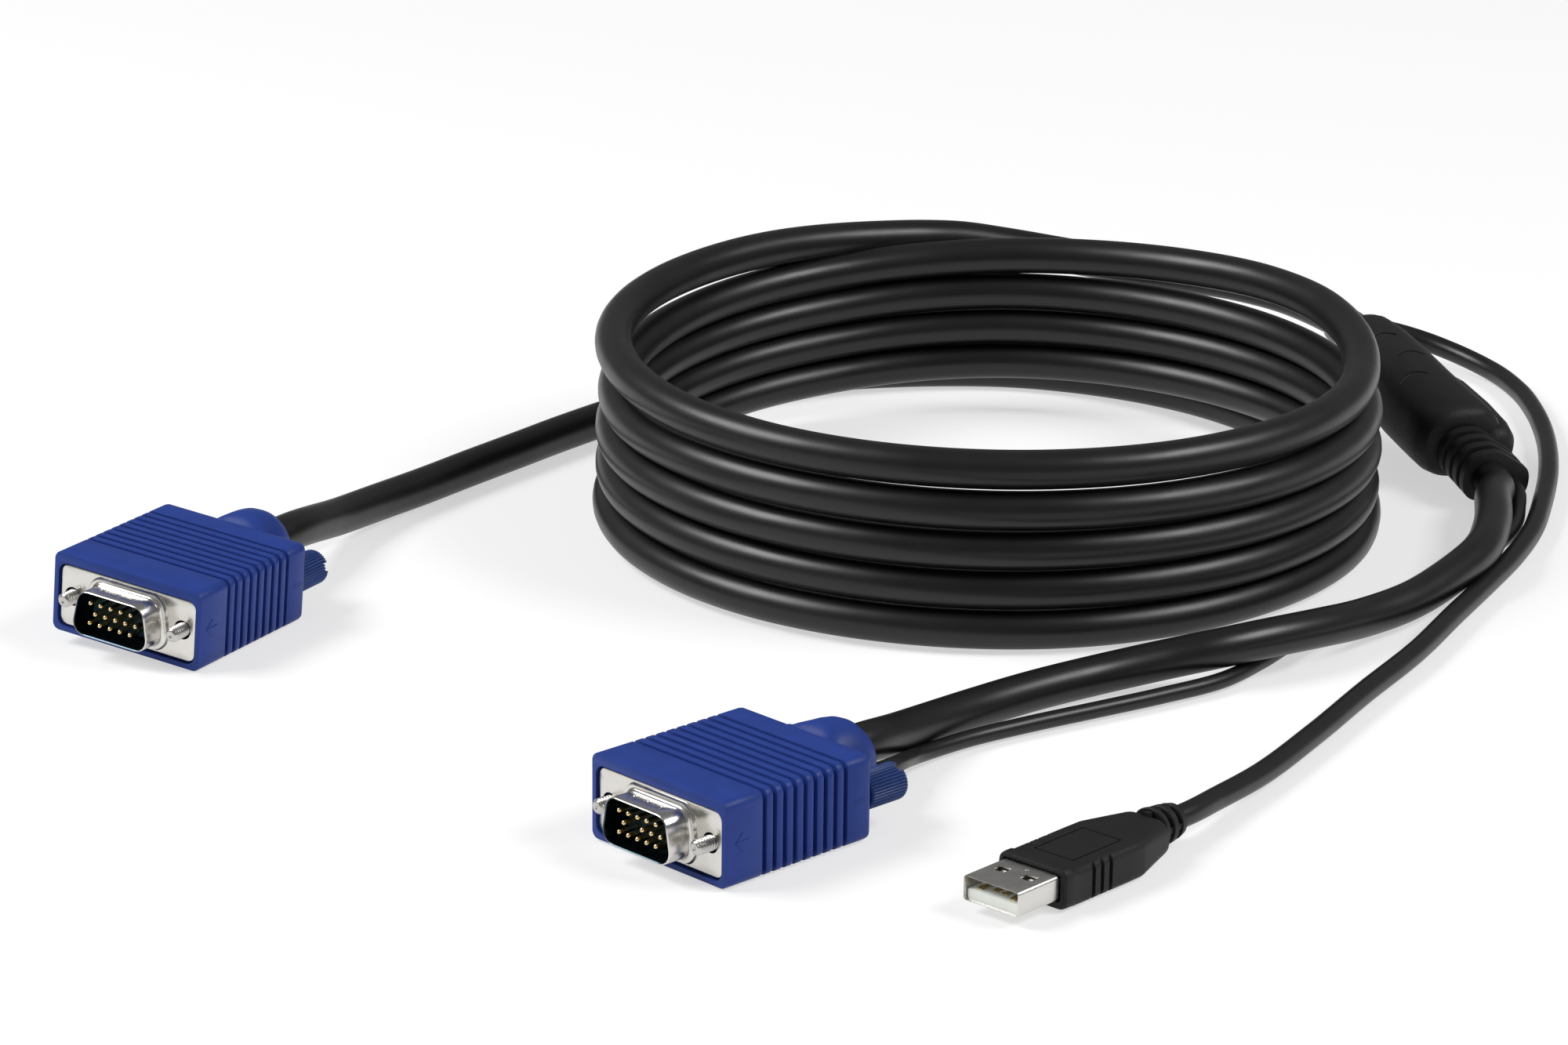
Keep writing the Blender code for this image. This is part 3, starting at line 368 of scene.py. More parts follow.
def shroud(name, colour, painted_inside_shade, roughness):
    """Plated face plate with a painted shade: its walls that face the contacts are painted a dark colour
    in place of shadow.
    """
    finish = Finish(name)
    patches = finish.noise(420.0, 4.0, 0.6, 0.4)
    fine = finish.noise(2600.0, 3.0)
    outward = finish.node("ShaderNodeTexCoord", "Normal")
    across = finish.vector_math("SUBTRACT", finish.place(), (0.0, 0.0, FACE_Z))
    flat = finish.vector_math("MULTIPLY", across, (1.0, 0.0, 1.0))
    facing = finish.vector_math("DOT_PRODUCT", flat, outward, "Value")
    # Painted shade: walls that face the middle of the D take the dark colour instead of the bare metal.
    painted_shade_share = (facing * -1200.0 - 0.8).clamped()
    bare = finish.blend(shade(colour, 0.86), shade(colour, 1.05), patches)
    tint = finish.blend(bare, painted_inside_shade, painted_shade_share)
    gloss = (patches * 0.20 + fine * 0.08 + (roughness - 0.12)).clamped()
    relief = finish.relief(patches * 0.00004 + fine * 0.000006, 1.0, 0.5)
    return finish.finished(tint, gloss, relief, {"Metallic": 1.0})


def plated(name, colour, roughness, wear):
    """Bright metal, duller in patches."""
    finish = Finish(name)
    patches = finish.noise(420.0, 4.0, 0.6, 0.4)
    fine = finish.noise(2600.0, 3.0)
    tint = finish.blend(shade(colour, 1.0 - wear), shade(colour, 1.0 + wear * 0.4), patches)
    gloss = (patches * 0.22 + fine * 0.10 + (roughness - 0.12)).clamped()
    relief = finish.relief(patches * 0.00004 + fine * 0.000006, 1.0, 0.5)
    return finish.finished(tint, gloss, relief, {"Metallic": 1.0})


def smooth_plastic(name, colour, roughness):
    """Hard plastic of the insulators and the tongue."""
    finish = Finish(name)
    patches = finish.noise(500.0, 3.0)
    tint = finish.blend(shade(colour, 0.9), shade(colour, 1.08), patches)
    gloss = (patches * 0.12 + (roughness - 0.06)).clamped()
    relief = finish.relief(finish.noise(1800.0), 0.00002, 0.3)
    return finish.finished(tint, gloss, relief, {"IOR": 1.5})


def paper(name, colour):
    """Floor that takes shadows and glows a little to the camera and in reflections."""
    finish = Finish(name)
    camera, glossy, transmitted = (finish.node("ShaderNodeLightPath", ray) for ray in (
        "Is Camera Ray", "Is Glossy Ray", "Is Transmission Ray"))
    seen = camera.math("MAXIMUM", glossy).math("MAXIMUM", transmitted)
    diffuse = finish.node("ShaderNodeBsdfDiffuse", sockets={"Color": tuple(colour) + (1.0,)})
    glow = finish.node("ShaderNodeEmission", sockets={"Strength": 1.0})
    return finish.shown(finish.node("ShaderNodeMixShader", sockets={
        0: seen * PAPER_GLOW, 1: diffuse, 2: glow}))


FINISHES = {}


def finishes():
    """All finishes by the record's slot name, made once."""
    if not FINISHES:
        chosen = bpy.context.scene.cable_finish
        FINISHES.update(
            blue_pvc=moulded_blue("hood_blue", chosen.hood, 0.46),
            blue_knob=moulded_blue("knob_blue", chosen.knob, 0.42),
            black_pvc=moulded_black("moulding_black", chosen.moulding),
            black_jacket=jacket("jacket_black", chosen.jacket),
            # The shroud's second colour is the painted shade on its inner walls.
            nickel_plate=shroud("shroud_nickel", (0.74, 0.72, 0.68), (0.045, 0.075, 0.095), 0.22),
            usb_plate=plated("shell_steel", (0.72, 0.71, 0.68), 0.26, 0.12),
            screw_steel=plated("thread_steel", (0.58, 0.565, 0.54), 0.24, 0.10),
            gold_plate=plated("contact_gold", (0.86, 0.66, 0.36), 0.20, 0.08),
            dark_blue_insulator=smooth_plastic("insulator_blue", chosen.insulator, 0.30),
            white_plastic=smooth_plastic("tongue_white", (0.80, 0.83, 0.77), 0.34))
    return FINISHES


def linked(name, data):
    """A new object of this data, in the scene."""
    item = bpy.data.objects.new(name, data)
    bpy.context.scene.collection.objects.link(item)
    return item


def show(name, data, slot, body="cable", place=None, replaces=(), finish=None):
    """Adds a piece with the finish of a slot, riding on a body, in place of CAD nodes."""
    item = linked(name, data)
    if place is not None:
        item.matrix_world = place
    data.materials.clear()
    data.materials.append(finishes()[finish or slot])
    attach(item, body)
    if replaces:
        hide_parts(*replaces)
    return item


def combined(name, base, steps):
    """The mesh of base after Boolean steps, each an operation and a mesh."""
    target = linked(name, base)
    used = [target]
    for operation, data in steps:
        tool = linked(name + "_tool", data)
        used.append(tool)
        step = target.modifiers.new(operation, "BOOLEAN")
        step.operation = operation
        step.solver = "EXACT"
        step.object = tool
    graph = bpy.context.evaluated_depsgraph_get()
    result = bpy.data.meshes.new_from_object(target.evaluated_get(graph))
    result.name = name
    for item in used:
        old = item.data
        bpy.data.objects.remove(item)
        bpy.data.meshes.remove(old)
    return result


def rounded_over(data, degrees):
    """Smooth shading, except over edges that turn by more than these degrees."""
    data.shade_smooth()
    data.set_sharp_from_angle(angle=math.radians(degrees))
    return data


def skin(name, rings, loop=False):
    """A surface through rings of equal length, capped, or joined end to end."""
    mesh = bmesh.new()
    layers = [[mesh.verts.new(point) for point in ring] for ring in rings]
    count = len(rings[0])
    following = layers[1:] + layers[:1] if loop else layers[1:]
    for low, high in zip(layers, following):
        for i in range(count):
            j = (i + 1) % count
            mesh.faces.new((low[i], low[j], high[j], high[i]))
    if not loop:
        mesh.faces.new(list(reversed(layers[0])))
        mesh.faces.new(layers[-1])
    bmesh.ops.recalc_face_normals(mesh, faces=mesh.faces)
    data = bpy.data.meshes.new(name)
    mesh.to_mesh(data)
    mesh.free()
    return data


def joined(name, parts):
    """One mesh of all the parts, which are used up."""
    mesh = bmesh.new()
    for data in parts:
        mesh.from_mesh(data)
        bpy.data.meshes.remove(data)
    made = bpy.data.meshes.new(name)
    mesh.to_mesh(made)
    mesh.free()
    return made


def rounded(width, height, corner, centre_z=0.0, steps=6, centre_x=0.0):
    """Outline of a rectangle with round corners, as (x, z) pairs."""
    points = []
    for sign_x, sign_z, start in ((1, 1, 0), (-1, 1, 90), (-1, -1, 180), (1, -1, 270)):
        for k in range(steps + 1):
            angle = math.radians(start + 90.0 * k / steps)
            x = sign_x * (width / 2 - corner) + corner * math.cos(angle)
            z = sign_z * (height / 2 - corner) + corner * math.sin(angle)
            points.append((centre_x + x, centre_z + z))
    return points


def d_shape(grow):
    """Outline of the D-shaped shroud about its own centre, wide side down, grown outwards."""
    half = D_HEIGHT / 2 + grow
    lean = math.tan(D_SLANT)
    side = D_HALF_WIDTH + grow / math.cos(D_SLANT)
    corners = ((side - lean * half, half), (-side + lean * half, half),
               (-side - lean * half, -half), (side + lean * half, -half))
    radius = D_CORNER + grow
    points = []
    for k in range(4):
        here = Vector(corners[k])
        before = (Vector(corners[k - 1]) - here).normalized()
        after = (Vector(corners[(k + 1) % 4]) - here).normalized()
        half_angle = before.angle(after) / 2
        middle = here + (before + after).normalized() * (radius / math.sin(half_angle))
        first = here + before * (radius / math.tan(half_angle)) - middle
        last = here + after * (radius / math.tan(half_angle)) - middle
        for step in range(CORNER_STEPS + 1):
            way = first.lerp(last, step / CORNER_STEPS).normalized() * radius
            points.append(tuple(middle + way))
    return points


def reach(outline, angles):
    """The outline read at the given directions from its centre."""
    found = []
    for angle in angles:
        direction = Vector((math.cos(angle), math.sin(angle)))
        best = 0.0
        for k, start in enumerate(outline):
            a = Vector(start)
            b = Vector(outline[(k + 1) % len(outline)])
            edge = b - a
            cross = direction.x * edge.y - direction.y * edge.x
            if abs(cross) < 1e-12:
                continue
            distance = (a.x * edge.y - a.y * edge.x) / cross
            along = (a.x * direction.y - a.y * direction.x) / cross
            if -1e-6 <= along <= 1 + 1e-6 and distance > best:
                best = distance
        found.append((direction.x * best, direction.y * best))
    return found


def at(outline, y, centre_z=0.0):
    """An outline set at a distance along y."""
    return [(x, y, z + centre_z) for x, z in outline]


def circle(radius, count, centre_x=0.0, centre_z=0.0):
    """Outline of a circle as (x, z) pairs."""
    return [(centre_x + radius * math.cos(2 * math.pi * k / count),
             centre_z + radius * math.sin(2 * math.pi * k / count)) for k in range(count)]


def oval(half_width, half_height, power, centre_x, centre_z, count=48):
    """Outline of an oval that grows squarer with its power."""
    points = []
    for k in range(count):
        angle = 2 * math.pi * k / count
        c = math.cos(angle)
        s = math.sin(angle)
        points.append((centre_x + math.copysign(abs(c) ** (2 / power), c) * half_width,
                       centre_z + math.copysign(abs(s) ** (2 / power), s) * half_height))
    return points


def prism(name, outline, start, end, centre_z=0.0):
    """A straight solid of an outline between two places along y."""
    return skin(name, [at(outline, start, centre_z), at(outline, end, centre_z)])


def turned(name, profile, count, centre=(0.0, 0.0)):
    """A turned solid along y from (y, radius) pairs."""
    return skin(name, [at(circle(r, count, *centre), y) for y, r in profile])


def eased(start, leave, end, arrive, t):
    """A place at the share t of a smooth span, from its ends and the slopes there."""
    return (start * (2 * t ** 3 - 3 * t ** 2 + 1) + leave * (t ** 3 - 2 * t ** 2 + t)
            + end * (3 * t ** 2 - 2 * t ** 3) + arrive * (t ** 3 - t ** 2))


def smooth_line(points, spacing):
    """A smooth line through the points, straight at both ends, read about every spacing."""
    places = [Vector(p) for p in points]
    inner = places[1:-1]
    spans = [(b - a).length for a, b in zip(inner, inner[1:])]
    slopes = [(b - a) / span for a, b, span in zip(inner, inner[1:], spans)]
    tangents = [(places[1] - places[0]).normalized()]
    for k in range(1, len(inner) - 1):
        both = spans[k - 1] + spans[k]
        tangents.append((slopes[k] * spans[k - 1] + slopes[k - 1] * spans[k]) / both)
    tangents.append((places[-1] - places[-2]).normalized())
    line = [places[0]]
    for k, span in enumerate(spans):
        steps = max(1, round(span / spacing))
        for step in range(steps):
            line.append(eased(inner[k], tangents[k] * span, inner[k + 1], tangents[k + 1] * span,
                              step / steps))
    line += [inner[-1], places[-1]]
    return line


def sweep(name, line, radius, sides):
    """A round tube along a line, carried without twist."""
    rings = []
    across = None
    for k, point in enumerate(line):
        before = line[max(k - 1, 0)]
        after = line[min(k + 1, len(line) - 1)]
        forward = (after - before).normalized()
        if across is None:
            across = forward.cross(Vector((0.0, 0.0, 1.0))).normalized()
        across = (across - forward * across.dot(forward)).normalized()
        other = forward.cross(across)
        rings.append([point + across * (radius * math.cos(2 * math.pi * i / sides))
                      + other * (radius * math.sin(2 * math.pi * i / sides))
                      for i in range(sides)])
    return rounded_over(skin(name, rings), 50.0)


def line_length(line):
    return sum((b - a).length for a, b in zip(line, line[1:]))


def metres(points):
    """Places given in millimetres, as vectors in metres."""
    return [Vector(p) * MM for p in points]


def hood_mesh(name, shift):
    """Moulded hood with rounded grooves, a flared neck, front pocket, bay and screw bores."""
    width, height, length = HOOD

    def section(y, depth):
        across = width - HOOD_DRAFT * (y - FACE_Y) / length - 2 * depth
        corner = HOOD_CORNER - depth
        return at(rounded(across, height - 2 * depth, corner, height / 2, CORNER_STEPS), y)
    rings = [section(FACE_Y + along, depth)
             for along, depth in ((0.0, 0.0003), (0.00008, 0.0001), (0.0003, 0.0))]
    for k in range(GROOVE_COUNT):
        middle = FACE_Y + GROOVE_FIRST + k * GROOVE_PITCH
        rings += [section(middle + offset, depth) for offset, depth in GROOVE_PROFILE]
    rings += [section(REAR_Y + along, depth) for along, depth in (
        (-0.0011, 0.0), (-0.00055, 0.00012), (-0.00020, 0.00040), (0.0, 0.00085))]
    body = skin(name + "_body", rings)

    # Distance behind the hood in metres, half width and half height in millimetres
    sections = ((-0.0040, 9.6, 7.25), (0.0, 8.7, 7.2), (0.0003, 8.1, 7.3), (0.0008, 7.65, 7.7),
                (0.0016, 7.4, 8.0), (0.0028, 7.25, 8.2), (0.0050, 7.1, 8.15), (0.0070, 6.85, 7.85),
                (0.0086, 6.45, 7.2), (0.0098, 5.95, 6.1), (0.0106, 5.4, 5.3), (NECK_LENGTH, 4.9, 4.7))
    neck_rings = []
    for along, half_width, half_height in sections:
        blend = min(1.0, max(0.0, along / 0.003))
        power = 3.2 + (2.2 - 3.2) * blend
        centre = height / 2 + (NECK_AXIS_Z - height / 2) * blend
        neck_rings.append(at(oval(half_width * MM, half_height * MM, power, shift * blend, centre),
                             REAR_Y + along))
    pocket = rounded(FLANGE[0] + 2 * GAP, FLANGE[1] + 2 * GAP, FLANGE_CORNER + GAP, FACE_Z,
                     CORNER_STEPS)
    pocket_end = FACE_Y + FLANGE_RECESS + FLANGE_THICKNESS + GAP
    bay_end = FACE_Y + FLANGE_RECESS + INSULATOR_DEPTH
    steps = [("UNION", skin(name + "_neck", neck_rings)),
             ("DIFFERENCE", prism(name + "_pocket", pocket, FACE_Y - OVERCUT, pocket_end)),
             ("DIFFERENCE", prism(name + "_bay", d_shape(-D_WALL), FACE_Y - OVERCUT, bay_end, FACE_Z))]
    steps += screw_holes(name, 24, REAR_Y + OVERCUT)
    return rounded_over(combined(name, body, steps), 32.0)


def screw_holes(name, sides, end):
    """Cuts for both screws, from before the face to end."""
    profile = ((FACE_Y - OVERCUT, SCREW_HOLE_RADIUS), (end, SCREW_HOLE_RADIUS))
    return [("DIFFERENCE", turned(name + "_hole", profile, sides, (x, FACE_Z)))
            for x in (-SCREW_HALF_SPACING, SCREW_HALF_SPACING)]


def marks_mesh(name):
    """A plain line arrow on the hood's right side and the parting line on both sides."""
    side = HOOD[0] / 2
    strokes = (((0.0022, MARK_Z), (0.0039, 0.0095)), ((0.0022, MARK_Z), (0.0039, 0.0063)),
               ((0.0024, MARK_Z), (0.0055, 0.0081)))
    lines = [((side, FACE_Y + y0, z0), (side, FACE_Y + (y0 + y1) / 2, (z0 + z1) / 2),
              (side, FACE_Y + y1, z1)) for (y0, z0), (y1, z1) in strokes]
    parts = [sweep(name, [Vector(p) for p in line], 0.00011, 8) for line in lines]
    for sign in (-1, 1):
        seam = [Vector((sign * side, y, MARK_Z))
                for y in (FACE_Y + 0.0302, FACE_Y + 0.032, REAR_Y - 0.0008)]
        parts.append(sweep(name, seam, 0.00005, 6))
    return joined(name, parts)


def shell_mesh(name):
    """Face plate with a stepped rise to the D-shaped shroud, its rolled lip and pressed dimples."""
    plate_front = FACE_Y + FLANGE_RECESS
    rim = FACE_Y - D_REACH
    corners = rounded(FLANGE[0], FLANGE[1], FLANGE_CORNER, 0.0, CORNER_STEPS) + d_shape(0.0)
    angles = sorted(set(round(math.atan2(z, x), 4) for x, z in corners))
    kept = []
    for angle in angles:
        if not kept or angle - kept[-1] > 0.012:
            kept.append(angle)

    def grown(amount):
        return reach(d_shape(amount), kept)

    def plate(inset):
        return reach(rounded(FLANGE[0] - 2 * inset, FLANGE[1] - 2 * inset, FLANGE_CORNER - inset,
                             0.0, CORNER_STEPS), kept)
    crest = plate_front - STEP_HEIGHT
    rows = [(grown(-D_WALL), plate_front + FLANGE_THICKNESS), (grown(-D_WALL), rim + 0.00022),
            (grown(-D_WALL * 0.85), rim + 0.00008), (grown(-D_WALL * 0.5), rim),
            (grown(-D_WALL * 0.15), rim + 0.00008), (grown(0.0), rim + 0.00022),
            (grown(0.0), crest - 0.00075), (grown(0.00006), crest - 0.00045),
            (grown(0.00020), crest - 0.00020), (grown(0.00042), crest - 0.00004),
            (grown(0.00060), crest), (grown(STEP_OFFSET - 0.00028), crest),
            (grown(STEP_OFFSET - 0.00010), crest + 0.00006), (grown(STEP_OFFSET), crest + 0.00022),
            (grown(STEP_OFFSET + 0.00004), plate_front - 0.00018),
            (grown(STEP_OFFSET + 0.00022), plate_front), (plate(0.00030), plate_front),
            (plate(0.00008), plate_front + 0.00008), (plate(0.0), plate_front + 0.00028),
            (plate(0.0), plate_front + FLANGE_THICKNESS)]
    blank = skin(name + "_blank", [at(outline, y, FACE_Z) for outline, y in rows], loop=True)
    steps = screw_holes(name, 28, FACE_Y + OVERCUT)
    half_dimple = ((0.00078, 0.00006), (0.00066, 0.00022), (0.0004, 0.00034))
    dimple = [(-along, radius) for along, radius in half_dimple]
    dimple += [(0.0, 0.00038)] + list(half_dimple[::-1])
    for level in (1.0, -1.0):
        for x in (-0.0034, 0.0, 0.0034):
            centre = (x, FACE_Z + level * (D_HEIGHT / 2 + 0.00016))
            profile = [(rim + 0.0028 + along, radius) for along, radius in dimple]
            steps.append(("DIFFERENCE", turned(name + "_dimple", profile, 14, centre)))
    return rounded_over(combined(name, blank, steps), 38.0)


def insulator_mesh(name, places):
    """Block that fills the shroud, with a collar round each contact's hole."""
    front = FACE_Y + FLANGE_RECESS - 0.0002
    back = FACE_Y + FLANGE_RECESS + INSULATOR_DEPTH
    hole = PIN_RADIUS + 0.00012
    body = skin(name, [at(d_shape(-D_WALL - GAP - 0.0001), front, FACE_Z),
                       at(d_shape(-D_WALL - GAP), front + 0.0001, FACE_Z),
                       at(d_shape(-D_WALL - GAP), back, FACE_Z)])
    raised = [turned(name + "_collar", [(front - 0.00025, 0.00078), (front - 0.00018, 0.00086),
                                        (front + 0.0004, 0.00088)], 14, place) for place in places]
    holes = [turned(name + "_hole", [(front - OVERCUT, hole), (front + 0.0025, hole)], 14, place)
             for place in places]
    steps = [("UNION", data) for data in raised] + [("DIFFERENCE", data) for data in holes]
    return rounded_over(combined(name, body, steps), 35.0)


def pins_mesh(name, places):
    """The contacts, each a pin with a rounded nose."""
    tip = FACE_Y - PIN_REACH
    nose = [(tip + PIN_RADIUS * (1 - math.cos(math.radians(a))) * 1.25,
             PIN_RADIUS * math.sin(math.radians(a))) for a in (12, 35, 58, 78, 90)]
    profile = [(FACE_Y + FLANGE_RECESS + 0.0020, PIN_RADIUS)] + nose[::-1]
    return rounded_over(joined(name, [turned(name, profile, 16, place) for place in places]), 60.0)


def thread_mesh(name, tip, root_end, back):
    """Threaded end with a helical crest, a chamfered nose and a plain shank."""
    nose = ((0.25, 0.00012), (0.35, 0.00003), (0.78, 0.0))
    rings = [at(circle(SCREW_ROOT * share, THREAD_SIDES), tip + along) for share, along in nose]
    start = tip + 0.00010
    rows = int((root_end - tip) / THREAD_ROW)
    for row in range(rows + 1):
        y = start + row * (root_end - start) / rows
        fade = max(0.0, min(1.0, (y - tip) / 0.00055, (root_end - y) / 0.0004))
        ring = []
        for k in range(THREAD_SIDES):
            turn = k / THREAD_SIDES
            phase = ((y - tip) / SCREW_PITCH - turn) % 1.0
            height = min(1.0, max(0.0, (1.0 - abs(2.0 * phase - 1.0)) * 1.5 - 0.15))
            radius = SCREW_ROOT + (SCREW_CREST - SCREW_ROOT) * height * fade
            radius = min(radius, SCREW_ROOT * 0.86 + (y - tip))
            ring.append((radius * math.cos(2 * math.pi * turn), y,
                         radius * math.sin(2 * math.pi * turn)))
        rings.append(ring)
    rings += [at(circle(SHANK_RADIUS, THREAD_SIDES), y) for y in (root_end + 0.0001, back)]
    return rounded_over(skin(name, rings), 50.0)


def knob_mesh(name, start):
    """Knob with rounded ribs, a chamfered end and a screwdriver slot."""
    end = start + KNOB_LENGTH
    points_per_rib = 6
    count = KNOB_RIBS * points_per_rib

    def outline(scale, depth):
        points = []
        for k in range(count):
            angle = 2 * math.pi * k / count
            wave = 0.5 + 0.5 * math.cos(angle * KNOB_RIBS)
            radius = scale * (KNOB_RADIUS - depth * (1.0 - wave ** 0.6))
            points.append((radius * math.cos(angle), radius * math.sin(angle)))
        return points
    blank = skin(name + "_blank", [at(outline(scale, depth), y) for scale, depth, y in (
        (0.90, 0.0002, start), (0.96, 0.0003, start + 0.00015), (1.0, 0.00034, start + 0.00045),
        (1.0, 0.00034, end - 0.00065), (0.96, 0.00030, end - 0.00022), (0.88, 0.00015, end))])
    slit = rounded(3 * KNOB_RADIUS, SLOT_WIDTH, 0.0001, 0.0, 2)
    bore_radius, bore_depth = KNOB_BORE
    bore = [(start - OVERCUT, bore_radius), (start + bore_depth, bore_radius)]
    steps = [("DIFFERENCE", prism(name + "_slot", slit, end - SLOT_DEPTH, end + OVERCUT)),
             ("DIFFERENCE", turned(name + "_bore", bore, 20))]
    return rounded_over(combined(name, blank, steps), 40.0)


def pin_places(missing):
    """Where the contacts stand across the face: three rows of five, the middle one set over."""
    places = []
    middle = (PIN_COLUMNS - 1) / 2 + 0.25
    for row, shift in ((1, 0.0), (0, 0.5), (-1, 0.0)):
        for k in range(PIN_COLUMNS):
            if (row, k) not in missing:
                places.append(((k - middle + shift) * PIN_PITCH, FACE_Z + row * PIN_ROW))
    return places


def dress_plug(prefix, place, shift, missing, plays, slot_angles):
    """All the visible pieces of one video plug."""
    places = pin_places(missing)
    pins = [prefix + "_pin_%02d" % number for number in range(1, len(places) + 1)]
    show(prefix + "_hood_fine", hood_mesh(prefix + "_hood_fine", shift), "blue_pvc", place=place,
         replaces=(prefix + "_hood",))
    show(prefix + "_hood_marks", marks_mesh(prefix + "_hood_marks"), "blue_pvc", place=place)
    show(prefix + "_shell_fine", shell_mesh(prefix + "_shell_fine"), "nickel_plate", place=place,
         replaces=(prefix + "_shell",))
    show(prefix + "_insulator_fine", insulator_mesh(prefix + "_insulator_fine", places),
         "dark_blue_insulator", place=place, replaces=(prefix + "_insulator",))
    show(prefix + "_pins", pins_mesh(prefix + "_pins", places), "gold_plate", place=place,
         replaces=pins)
    for k, side in enumerate(("left", "right")):
        spot = Matrix.Translation(((2 * k - 1) * SCREW_HALF_SPACING, 0.0, FACE_Z))
        axis = place @ spot @ Matrix.Rotation(math.radians(slot_angles[k]), 4, "Y")
        start = REAR_Y + GAP + plays[k]
        body = prefix + "_thumbscrew_" + side
        thread = prefix + "_thread_" + side
        knob = prefix + "_thumb_knob_" + side
        show(thread, thread_mesh(thread, FACE_Y - SCREW_REACH[k], FACE_Y + THREAD_LENGTH_INSIDE,
                                 start + SHANK_IN_KNOB),
             "screw_steel", body, axis, (prefix + "_screw_" + side,))
        show(knob, knob_mesh(knob, start), "blue_knob", body, axis, (prefix + "_knob_" + side,))


def usb_shell_mesh(name):
    """Steel shell with a rolled mouth, four windows and a small dimple."""
    width, height = USB_SHELL

    def outline(walls, corner):
        inset = walls * USB_SHELL_WALL
        return rounded(width - inset, height - inset, corner, USB_AXIS_Z)
    blank = skin(name + "_blank", [at(outline(walls, corner), y) for walls, corner, y in (
        (2, 0.00035, USB_SHELL_LENGTH), (2, 0.00035, 0.00025), (1.2, 0.0005, 0.0),
        (0.5, 0.0006, 0.00004), (0, 0.00065, 0.0002), (0, 0.00065, USB_SHELL_LENGTH))], loop=True)
    steps = []
    for level in (1, -1):
        for x in (-USB_WINDOW_X, USB_WINDOW_X):
            window = rounded(0.0024, 0.0014, 0.0002, USB_AXIS_Z + level * height / 2, 2, x)
            steps.append(("DIFFERENCE", prism(name + "_window", window, 0.0052, 0.0074)))
    top = USB_AXIS_Z + height / 2
    dimple = skin(name + "_dimple", [[(x + 0.0004, y + 0.0088, top + z) for x, y in circle(r, 16)]
                                     for z, r in ((0.0003, 0.00046), (-0.0002, 0.00040))])
    steps.append(("DIFFERENCE", dimple))
    return rounded_over(combined(name, blank, steps), 35.0)


def usb_spring_mesh(name):
    """Spring fingers that show behind the windows."""
    top = USB_AXIS_Z + USB_SHELL[1] / 2
    parts = []
    for x in (-USB_WINDOW_X, USB_WINDOW_X):
        rows = ((0.0016, 0.0050, 0.00062), (0.0016, 0.0056, 0.00060), (0.0015, 0.0064, 0.00078),
                (0.0014, 0.0072, 0.00066), (0.0014, 0.0086, 0.00050))
        parts.append(skin(name, [at(rounded(width, 0.00018, 0.00005, top - drop, 2, x), y)
                                 for width, y, drop in rows]))
    return rounded_over(joined(name, parts), 40.0)


def usb_mould_mesh(name):
    """Grip with a raised collar, side grooves, a framed panel and a ringed strain relief."""
    # Distance from the mouth, width, height, corner and centre height in millimetres
    rows = [(10.4, 13.6, 6.2, 1.2, 3.65), (10.5, 14.2, 6.7, 1.5, 3.65), (10.9, 14.8, 7.2, 1.7, 3.65),
            (11.5, 14.9, 7.3, 1.7, 3.65), (12.7, 14.9, 7.3, 1.7, 3.65), (13.1, 14.8, 6.9, 1.4, 3.5),
            (13.3, 14.7, 6.8, 1.3, 3.45)]
    for k in range(3):
        y = 17.4 + k * 2.25
        rows += [(y, 14.8, 6.8, 1.3, 3.45), (y + 0.10, 13.7, 6.75, 1.1, 3.45),
                 (y + 0.85, 13.7, 6.75, 1.1, 3.45), (y + 0.95, 14.8, 6.8, 1.3, 3.45)]
    rows += [(27.5, 14.8, 6.8, 1.3, 3.45), (31.2, 14.8, 6.8, 1.4, 3.45), (31.8, 14.6, 6.8, 1.5, 3.45),
             (36.0, 12.6, 6.6, 2.0, 3.55), (40.0, 10.7, 6.4, 2.4, 3.6), (40.8, 10.2, 6.2, 2.4, 3.6),
             (41.3, 9.0, 5.4, 2.2, 3.7)]
    body = skin(name + "_body", [at(rounded(w * MM, h * MM, r * MM, z * MM, 5), y * MM)
                                 for y, w, h, r, z in rows])

    def slab(half, start, end, low, high):
        corners = ((-half, start), (half, start), (half, end), (-half, end))
        return skin(name + "_slab", [[(x, y, z) for x, y in corners] for z in (high, low)])
    panel = slab(0.0043, 0.0160, 0.0290, 0.00645, 0.0080)
    island = slab(0.0040, 0.0163, 0.0287, 0.0060, 0.0085)
    axis = (0.0, RELIEF_AXIS_Z)
    core = turned(name + "_core", [(0.0400, 0.0025), (0.0485, 0.0025)], RELIEF_SIDES, axis)
    steps = [("DIFFERENCE", combined(name + "_frame", panel, [("DIFFERENCE", island)])),
             ("UNION", core)]
    # Start, end and the radius at each of them in millimetres
    for start, end, first, last in ((41.9, 43.3, 3.9, 3.75), (44.3, 45.9, 3.6, 3.5),
                                    (46.9, 48.6, 3.3, 3.0)):
        profile = ((start, first - 0.2), (start + 0.15, first), (end - 0.3, last), (end, last - 0.3))
        steps.append(("UNION", turned(name + "_ring", [(y * MM, r * MM) for y, r in profile],
                                      RELIEF_SIDES, axis)))
    for w, h in ((7.0, 1.3), (1.3, 7.0)):
        steps.append(("UNION", skin(name + "_bridge", [
            at(rounded(w * share * MM, h * share * MM, 0.0002, RELIEF_AXIS_Z, 2), y)
            for share, y in ((1.0, 0.0405), (0.84, 0.0475))])))
    pocket = rounded(USB_SHELL[0] + 2 * GAP, USB_SHELL[1] + 2 * GAP, 0.0007, USB_AXIS_Z, 4)
    steps.append(("DIFFERENCE", prism(name + "_pocket", pocket, 0.0094, 0.0125)))
    return rounded_over(combined(name, body, steps), 28.0)


